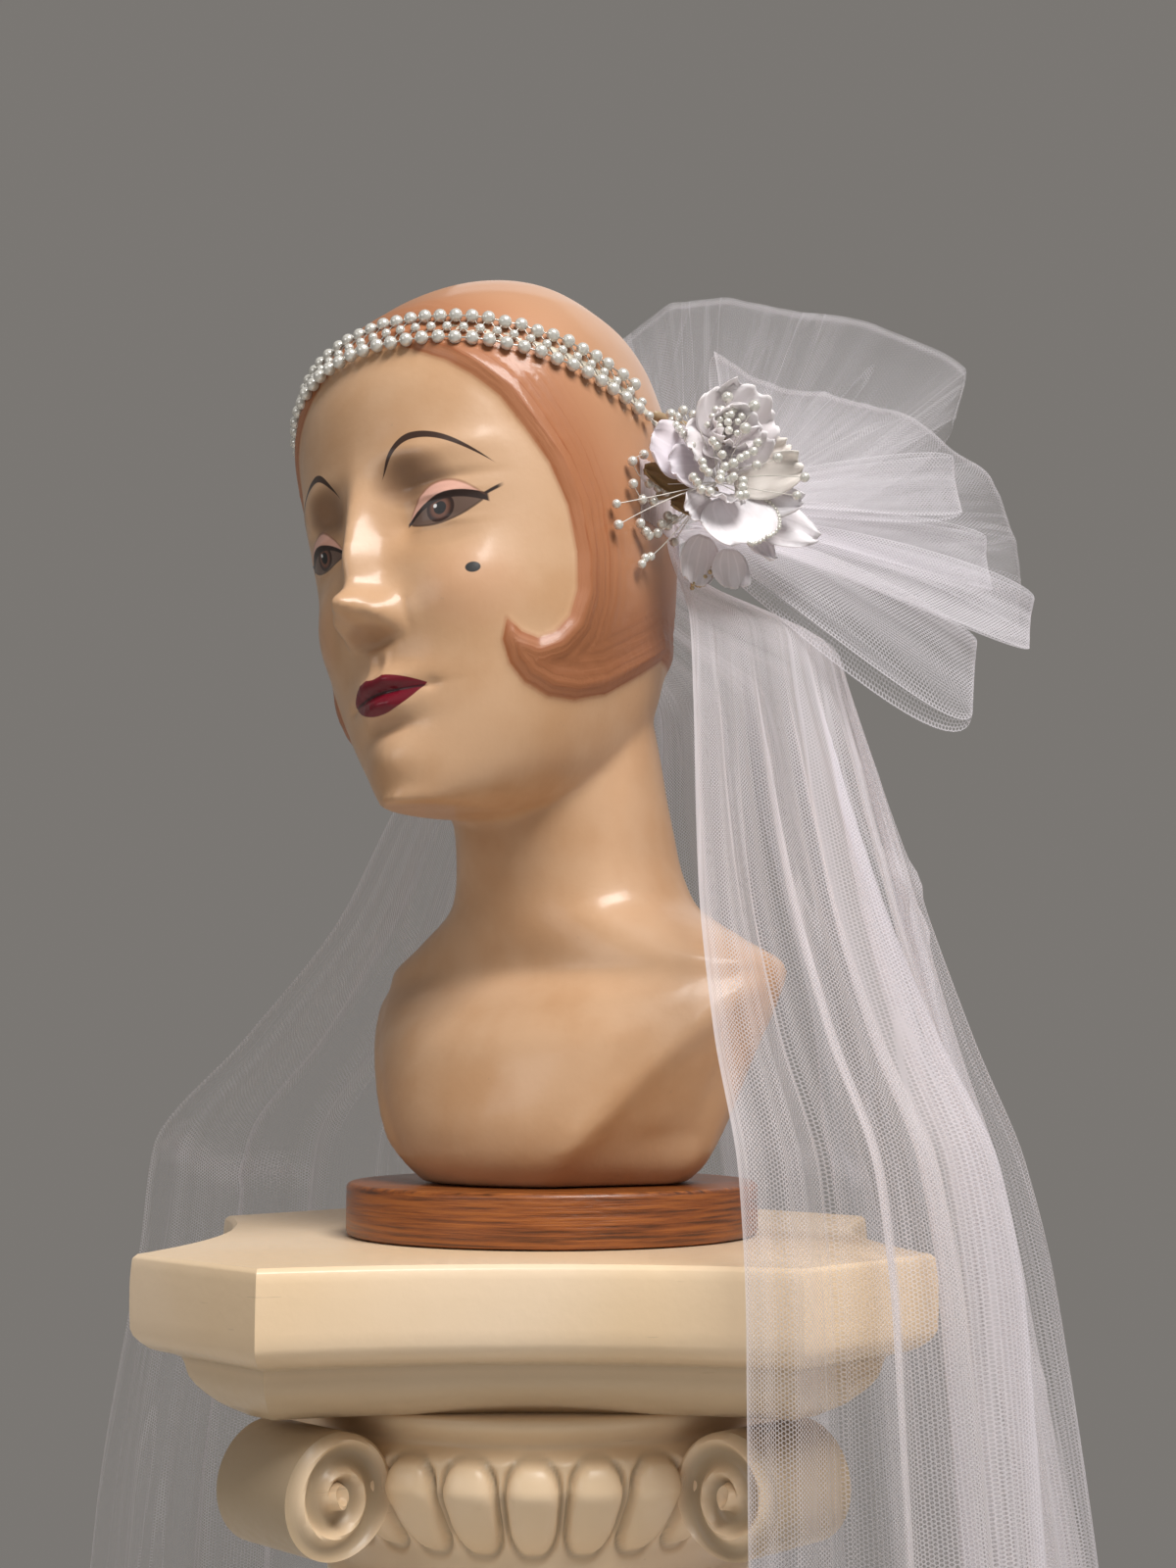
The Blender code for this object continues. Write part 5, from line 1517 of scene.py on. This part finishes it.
# The pedestal; the abacus's profile is (moved in, below the top) from its underside up
ABACUS_HALF = 0.150
ABACUS_CORNER_CUT = 0.056
ABACUS_HOLLOW = 0.016
ABACUS_THICKNESS = 0.058
ABACUS_PROFILE = (
    (0.046, 0.058), (0.034, 0.053), (0.023, 0.044), (0.020, 0.037), (0.008, 0.034),
    (0.0006, 0.027), (0.0, 0.012), (0.0006, 0.0018), (0.0026, 0.0))
PLINTH_HALF = 0.128
PLINTH_HEIGHT = 0.045
CAPITAL_HEIGHT = 0.080
EGG_COUNT = 28
EGG_HEIGHT = 0.047
VOLUTE_RADIUS = 0.0225
VOLUTE_WIDTH = 0.050
VOLUTE_REACH = 0.122
VOLUTE_DROP = 0.085


def abacus_outline(inset):
    """Hollow-sided square with cut, softly rounded corners, moved in by an inset."""
    half = ABACUS_HALF - inset
    reach = ABACUS_HALF - ABACUS_CORNER_CUT
    outline = []
    for quarter in range(4):
        turn = math.pi / 2 * quarter
        for along in np.concatenate([[-1.0, -0.985], np.linspace(-0.95, 0.95, 25), [0.985, 1.0]]):
            x = half - ABACUS_HOLLOW * (1 - along * along)
            y = reach * along
            outline.append((x * math.cos(turn) - y * math.sin(turn), x * math.sin(turn) + y * math.cos(turn)))
    return np.array(outline)


def build_pedestal(settings):
    """Abacus, capital with scrolls and egg-and-dart, shaft and plinth."""
    plaster = plaster_finish("ivory_plaster_paint", tuple(settings.plaster_colour))
    drops = np.array([drop for inset, drop in ABACUS_PROFILE])[::-1]
    insets = np.array([inset for inset, drop in ABACUS_PROFILE])[::-1]
    places = np.concatenate([np.linspace(a, b, 4)[:-1] for a, b in zip(drops[:-1], drops[1:])] + [drops[-1:]])
    smooth_insets = curve_through(drops, insets, places)
    corners = len(abacus_outline(0.0))
    rings = [np.concatenate([abacus_outline(inset), np.full((corners, 1), PEDESTAL_TOP - drop)], axis=1)
             for inset, drop in zip(smooth_insets[::-1], places[::-1])]
    points, faces = closed_rings(rings)
    # Darker in the groove 37 mm down (grime and painted shade) and over the cove below it, a painted shadow
    # under the abacus's overhang
    hollow = np.maximum(np.exp(-((places[::-1] - 0.037) / 0.004) ** 2) * 0.7,
                        ease(0.034, 0.042, places[::-1]) * 0.55)
    hollow = np.repeat(hollow, len(rings[0]))
    abacus = add_mesh("abacus_moulded", points, faces, plaster, values={"hollow": hollow})
    abacus.data.set_sharp_from_angle(angle=math.radians(32))
    seat(abacus, "ivory_plaster", "pedestal_abacus")
    build_capital(plaster)

    top = PEDESTAL_TOP - ABACUS_THICKNESS - SEAM_GAP - CAPITAL_HEIGHT - SEAM_GAP
    low = PLINTH_HEIGHT + SEAM_GAP
    knots = [(low, 0.112), (low + 0.008, 0.118), (low + 0.016, 0.118), (low + 0.024, 0.111),
             (low + 0.026, 0.098), (low + 0.036, 0.094), (low + 0.060, 0.091), (0.35, 0.086), (top, 0.078)]
    at = np.concatenate([np.linspace(low, low + 0.060, 36), np.linspace(low + 0.075, top, 24)])
    radii = curve_through([k[0] for k in knots], [k[1] for k in knots], at)
    # Darker in the step above the shaft's foot: grime and painted shade
    hollows = np.exp(-((at - low - 0.026) / 0.004) ** 2) * 0.8
    shaft = turned("shaft_turned", list(zip(radii, at)), plaster, hollows=hollows)
    seat(shaft, "ivory_plaster", "pedestal_shaft")

    rings = []
    for inset, height in ((0.0015, 0.0), (0.0, 0.0015), (0.0, PLINTH_HEIGHT - 0.004),
                          (0.0012, PLINTH_HEIGHT - 0.0012), (0.004, PLINTH_HEIGHT)):
        half = PLINTH_HALF - inset
        side = np.linspace(-1, 1, 13)[:-1]
        square = [(half, s * half) for s in side] + [(-s * half, half) for s in side]
        square += [(-half, -s * half) for s in side] + [(s * half, -half) for s in side]
        rings.append([(px, py, height) for px, py in square])
    points, faces = closed_rings(rings)
    plinth = add_mesh("plinth_block", points, faces, plaster, values={"hollow": np.zeros(len(points))})
    plinth.data.set_sharp_from_angle(angle=math.radians(32))
    seat(plinth, "ivory_plaster", "pedestal_plinth")


def build_capital(plaster):
    """The turned bell with eggs and darts, and a scroll at each corner."""
    top = PEDESTAL_TOP - ABACUS_THICKNESS - SEAM_GAP
    bottom = top - CAPITAL_HEIGHT
    knots = [(bottom, 0.078), (bottom + 0.004, 0.086), (bottom + 0.010, 0.086),
             (bottom + 0.014, 0.081), (bottom + 0.026, 0.084), (bottom + 0.044, 0.098),
             (bottom + 0.056, 0.106), (bottom + 0.064, 0.106), (bottom + 0.070, 0.098),
             (top - 0.002, 0.102), (top, 0.101)]
    at = np.linspace(bottom, top, 70)
    radii = curve_through([k[0] for k in knots], [k[1] for k in knots], at)
    turn = np.linspace(0, 2 * math.pi, 672, endpoint=False)
    around = (turn / (2 * math.pi) * EGG_COUNT + 0.5) % 1.0 - 0.5
    middle = bottom + EGG_HEIGHT
    egg = 1 - np.abs(around / 0.415) ** 2.8 - np.abs((at[:, None] - middle) / 0.0180) ** 3.0
    shell = np.abs(egg + 0.28)
    dart = np.exp(-((np.abs(around) - 0.5) / 0.035) ** 2) * np.exp(-((at[:, None] - middle) / 0.013) ** 2)
    relief = (0.0060 * np.clip(egg, 0, 1) ** 0.42 - 0.0022 * np.exp(-(shell / 0.30) ** 2) * (egg < 0.05)
              + 0.0016 * dart)
    inside = np.exp(-((at[:, None] - middle) / 0.021) ** 6)
    radius = radii[:, None] + relief * inside - 0.0016 * inside
    rings = np.stack([radius * np.cos(turn), radius * np.sin(turn), at[:, None] + 0 * turn], axis=2)
    # Darker in the grooves round the eggs: grime and painted shade
    hollow = np.exp(-(shell / 0.25) ** 2) * inside * (egg < 0.1) * 0.9
    points, faces = closed_rings(rings)
    bell = add_mesh("capital_bell", points, faces, plaster, values={"hollow": hollow})
    seat(bell, "ivory_plaster", "pedestal_capital")
    points, faces, hollows = [], [], []
    for corner in range(4):
        scroll_points, scroll_faces, scroll_hollows = scroll_mesh(math.pi / 4 + math.pi / 2 * corner)
        faces += [[k + len(points) for k in face] for face in scroll_faces]
        points += scroll_points.tolist()
        hollows += scroll_hollows.tolist()
    scrolls = add_mesh("capital_scrolls", points, faces, plaster, values={"hollow": hollows})
    scrolls.data.set_sharp_from_angle(angle=math.radians(40))
    seat(scrolls, "ivory_plaster", "pedestal_capital")


def scroll_mesh(diagonal):
    """One corner scroll: a drum with a spiral raised on both of its faces."""
    rings = []
    turn = np.linspace(0, 2 * math.pi, 72, endpoint=False)
    out_shares = np.linspace(0.0, 1.0, 20)
    hollows = []
    for face in (-1, 1):
        for share in (out_shares if face < 0 else out_shares[::-1]):
            spiral = (turn / (2 * math.pi) + (1 - share) * 1.9) % 1.0
            ridge = np.exp(-((spiral - 0.5) / 0.22) ** 2) * ease(0.0, 0.15, share) + (share < 0.16)
            lift = 0.0042 * ridge - 0.0018 * (1 - share)
            offset = face * (VOLUTE_WIDTH / 2 - 0.0040 + lift)
            radius = VOLUTE_RADIUS * (0.02 + 0.98 * share)
            reach = VOLUTE_REACH + radius * np.cos(turn)
            rings.append(np.stack([
                reach * math.cos(diagonal) - offset * math.sin(diagonal),
                reach * math.sin(diagonal) + offset * math.cos(diagonal),
                PEDESTAL_TOP - VOLUTE_DROP + radius * np.sin(turn)], axis=1))
            # Darker away from the spiral's raised line, out to the drum's side: grime and painted shade
            hollows.append(np.clip(1 - ridge, 0, 1))
    points, faces = closed_rings(rings)
    return points, faces, np.concatenate(hollows)


# Soft lamps, each with its power as a share of the key lamp's, and the camera
Lamp = namedtuple("Lamp", "name place size share colour")
LAMPS = [
    Lamp("key_softbox", (0.66, -1.20, 2.55), 1.15, 1.0, (1.0, 0.985, 0.965)),
    Lamp("fill_softbox", (-1.60, -1.60, 1.50), 1.2, 0.10, (0.97, 0.98, 1.0)),
    Lamp("back_softbox", (0.60, 1.60, 2.30), 1.8, 0.10, (0.98, 0.98, 1.0)),
]
LAMP_AIM = (0.02, 0.0, 0.95)
CAMERA_PLACE = (0.020, -0.84, 0.819)
LENS_MM = 45.0
SENSOR_MM = 36.0


def area_light(lamp, key_power):
    """A soft rectangular lamp aimed at the head."""
    light = bpy.data.lights.new(lamp.name, "AREA")
    light.shape = "RECTANGLE"
    light.size = lamp.size
    light.size_y = lamp.size * 0.75
    light.energy = key_power * lamp.share
    light.color = lamp.colour
    placed = bpy.data.objects.new(lamp.name, light)
    placed.location = lamp.place
    placed.rotation_euler = (Vector(LAMP_AIM) - Vector(lamp.place)).to_track_quat("-Z", "Y").to_euler()
    bpy.context.collection.objects.link(placed)


def build_stage(settings):
    """Pale floor, soft lamps, an even surround and the camera."""
    turn = np.linspace(0, 2 * math.pi, 128, endpoint=False)
    rings = [np.stack([radius * np.cos(turn), radius * np.sin(turn), 0 * turn], axis=1)
             for radius in (0.02, 0.5, 1.2, settings.floor_radius)]
    faces = grid_faces(len(rings), len(turn), closed=True).tolist() + [list(range(len(turn)))]
    floor = add_mesh("stage_floor", np.array(rings) - (0, 0, 0.0005), faces,
                     plain_finish("stage_paper", srgb(0.86, 0.85, 0.83), 0.8))
    world = bpy.data.worlds.new("stage_surround")
    world.use_nodes = True
    background = world.node_tree.nodes["Background"]
    background.inputs["Color"].default_value = (*settings.surround_colour, 1.0)
    background.inputs["Strength"].default_value = 1.0
    bpy.context.scene.world = world
    bpy.context.scene.view_settings.view_transform = "Standard"
    for lamp in LAMPS:
        area_light(lamp, settings.key_power)
    lens = bpy.data.cameras.new("photo_view")
    lens.lens = LENS_MM
    lens.sensor_width = SENSOR_MM
    camera = bpy.data.objects.new("photo_view", lens)
    camera.location = CAMERA_PLACE
    camera.rotation_euler = (math.radians(90.0 + settings.camera_pitch), 0.0, 0.0)
    bpy.context.collection.objects.link(camera)
    bpy.context.scene.camera = camera


class VeilSizes(bpy.types.PropertyGroup):
    """Sizes and colour of the tulle."""

    veil_width: bpy.props.FloatProperty(
        name="Cut width", description="Width of the veil before it is gathered", default=1.45, unit="LENGTH")
    veil_length: bpy.props.FloatProperty(
        name="Cut length", description="Length of the veil from its gathers to the hem",
        default=round(VEIL_BOX[1][2] - VEIL_BOX[0][2], 2) + 0.04, unit="LENGTH")
    net_pitch: bpy.props.FloatProperty(
        name="Net pitch", description="From one hole of the net to the next", default=0.0016, unit="LENGTH")
    net_cover: bpy.props.FloatProperty(
        name="Net cover", description="Share of one layer of net that is thread",
        default=0.19, subtype="FACTOR")
    veil_density: bpy.props.FloatProperty(
        name="Density", description="How dense the gathered folds look", default=1.15)
    fold_lean: bpy.props.FloatProperty(
        name="Fold lean", description="How far the folds lean over each other", default=1.0)
    tulle_colour: bpy.props.FloatVectorProperty(
        name="Tulle", description="Colour of the net",
        default=srgb(0.955, 0.940, 0.965), size=3, subtype="COLOR")


class HeadpieceSizes(bpy.types.PropertyGroup):
    """Sizes and colours of the pearls and flowers."""

    pearl_size: bpy.props.FloatProperty(
        name="Pearl size", description="Across one of the band's large pearls", default=0.0056, unit="LENGTH")
    pearl_colour: bpy.props.FloatVectorProperty(
        name="Pearl", description="Colour of the pearls",
        default=srgb(0.90, 0.89, 0.86), size=3, subtype="COLOR")
    silk_colour: bpy.props.FloatVectorProperty(
        name="Silk", description="Colour of the silk petals",
        default=srgb(0.985, 0.965, 0.975), size=3, subtype="COLOR")


class HeadColours(bpy.types.PropertyGroup):
    """Colours painted on the display head."""

    skin_colour: bpy.props.FloatVectorProperty(
        name="Skin", description="Cream body paint",
        default=srgb(0.79, 0.64, 0.505), size=3, subtype="COLOR")
    hair_colour: bpy.props.FloatVectorProperty(
        name="Hair", description="Ginger hair paint",
        default=srgb(0.735, 0.54, 0.405), size=3, subtype="COLOR")
    lip_colour: bpy.props.FloatVectorProperty(
        name="Lips", description="Dark red lip paint",
        default=srgb(0.42, 0.02, 0.11), size=3, subtype="COLOR")


class StandColours(bpy.types.PropertyGroup):
    """Colours of the wooden foot and the pedestal."""

    wood_colour: bpy.props.FloatVectorProperty(
        name="Wood", description="Reddish-brown stain",
        default=srgb(0.515, 0.275, 0.10), size=3, subtype="COLOR")
    plaster_colour: bpy.props.FloatVectorProperty(
        name="Plaster", description="Ivory paint",
        default=srgb(0.95, 0.855, 0.74), size=3, subtype="COLOR")


class StageSettings(bpy.types.PropertyGroup):
    """Floor, surround, lamps and camera."""

    floor_radius: bpy.props.FloatProperty(
        name="Floor radius", description="Reach of the pale floor", default=2.2, unit="LENGTH")
    surround_colour: bpy.props.FloatVectorProperty(
        name="Surround", description="Even studio surround",
        default=srgb(0.480, 0.467, 0.452), size=3, subtype="COLOR")
    key_power: bpy.props.FloatProperty(
        name="Key power", description="Power of the main lamp", default=57.0, unit="POWER")
    camera_pitch: bpy.props.FloatProperty(
        name="Camera pitch", description="Degrees that the camera looks up", default=8.2)


class VEIL_OT_add_veil(bpy.types.Operator):
    """Hang the long folded sheet of tulle"""

    bl_idname = "bridal_veil.add_veil"
    bl_label = "Add veil"

    def execute(self, context):
        build_veil(context.scene.veil_sizes)
        return {"FINISHED"}


class VEIL_OT_add_heading(bpy.types.Operator):
    """Add the gathered heading on the side and back of the head"""

    bl_idname = "bridal_veil.add_heading"
    bl_label = "Add heading"

    def execute(self, context):
        build_heading(context.scene.veil_sizes)
        return {"FINISHED"}


class VEIL_OT_add_poufs(bpy.types.Operator):
    """Add the puffed layers and folded loops of net"""

    bl_idname = "bridal_veil.add_poufs"
    bl_label = "Add puffed layers"

    def execute(self, context):
        net = net_finish("pouf_net", context.scene.veil_sizes, cover=POUF_COVER)
        for layer in POUF_LAYERS:
            build_pouf_layer(layer, net)
        return {"FINISHED"}


class VEIL_OT_add_pearl_band(bpy.types.Operator):
    """Add the pearl band round the head"""

    bl_idname = "bridal_veil.add_pearl_band"
    bl_label = "Add pearl band"

    def execute(self, context):
        build_pearl_band(context.scene.headpiece_sizes)
        return {"FINISHED"}


class VEIL_OT_add_flowers(bpy.types.Operator):
    """Add the silk and organza flowers with their leaves"""

    bl_idname = "bridal_veil.add_flowers"
    bl_label = "Add flowers"

    def execute(self, context):
        build_flowers(context.scene.headpiece_sizes)
        return {"FINISHED"}


class VEIL_OT_add_pearl_sprays(bpy.types.Operator):
    """Add the pearls on stems and strings over the flowers"""

    bl_idname = "bridal_veil.add_pearl_sprays"
    bl_label = "Add pearl sprays"

    def execute(self, context):
        build_pearl_sprays(context.scene.headpiece_sizes)
        return {"FINISHED"}


class VEIL_OT_add_display_head(bpy.types.Operator):
    """Add the painted display head"""

    bl_idname = "bridal_veil.add_display_head"
    bl_label = "Add display head"

    def execute(self, context):
        build_display_head(context.scene.head_colours)
        return {"FINISHED"}


class VEIL_OT_add_stand(bpy.types.Operator):
    """Add the wooden foot and the pedestal"""

    bl_idname = "bridal_veil.add_stand"
    bl_label = "Add foot and pedestal"

    def execute(self, context):
        build_foot(context.scene.stand_colours)
        build_pedestal(context.scene.stand_colours)
        return {"FINISHED"}


class VEIL_OT_add_stage(bpy.types.Operator):
    """Add the floor, lamps and camera"""

    bl_idname = "bridal_veil.add_stage"
    bl_label = "Add stage"

    def execute(self, context):
        build_stage(context.scene.stage_settings)
        return {"FINISHED"}


OPERATORS = (
    VEIL_OT_add_stage, VEIL_OT_add_stand, VEIL_OT_add_display_head, VEIL_OT_add_pearl_band,
    VEIL_OT_add_heading, VEIL_OT_add_veil, VEIL_OT_add_poufs, VEIL_OT_add_flowers, VEIL_OT_add_pearl_sprays,
)
SETTINGS = {
    "veil_sizes": VeilSizes,
    "headpiece_sizes": HeadpieceSizes,
    "head_colours": HeadColours,
    "stand_colours": StandColours,
    "stage_settings": StageSettings,
}


class VEIL_PT_panel(bpy.types.Panel):
    """Lists the pieces of the bridal veil"""

    bl_idname = "VEIL_PT_panel"
    bl_label = "Bridal Veil"
    bl_space_type = "VIEW_3D"
    bl_region_type = "UI"
    bl_category = "Bridal Veil"

    def draw(self, context):
        for operator in OPERATORS:
            self.layout.operator(operator.bl_idname)
        for name, group in SETTINGS.items():
            box = self.layout.box()
            for value in group.__annotations__:
                box.prop(getattr(context.scene, name), value)


def register():
    """Make the settings, operators and panel known to Blender."""
    for name, group in SETTINGS.items():
        bpy.utils.register_class(group)
        setattr(bpy.types.Scene, name, bpy.props.PointerProperty(type=group))
    for operator in OPERATORS:
        bpy.utils.register_class(operator)
    bpy.utils.register_class(VEIL_PT_panel)


def unregister():
    """Take them out again."""
    bpy.utils.unregister_class(VEIL_PT_panel)
    for operator in reversed(OPERATORS):
        bpy.utils.unregister_class(operator)
    for name, group in SETTINGS.items():
        delattr(bpy.types.Scene, name)
        bpy.utils.unregister_class(group)


def main():
    """Build every piece in order."""
    register()
    for operator in OPERATORS:
        family, name = operator.bl_idname.split(".")
        getattr(getattr(bpy.ops, family), name)()


if __name__ == "__main__":
    main()
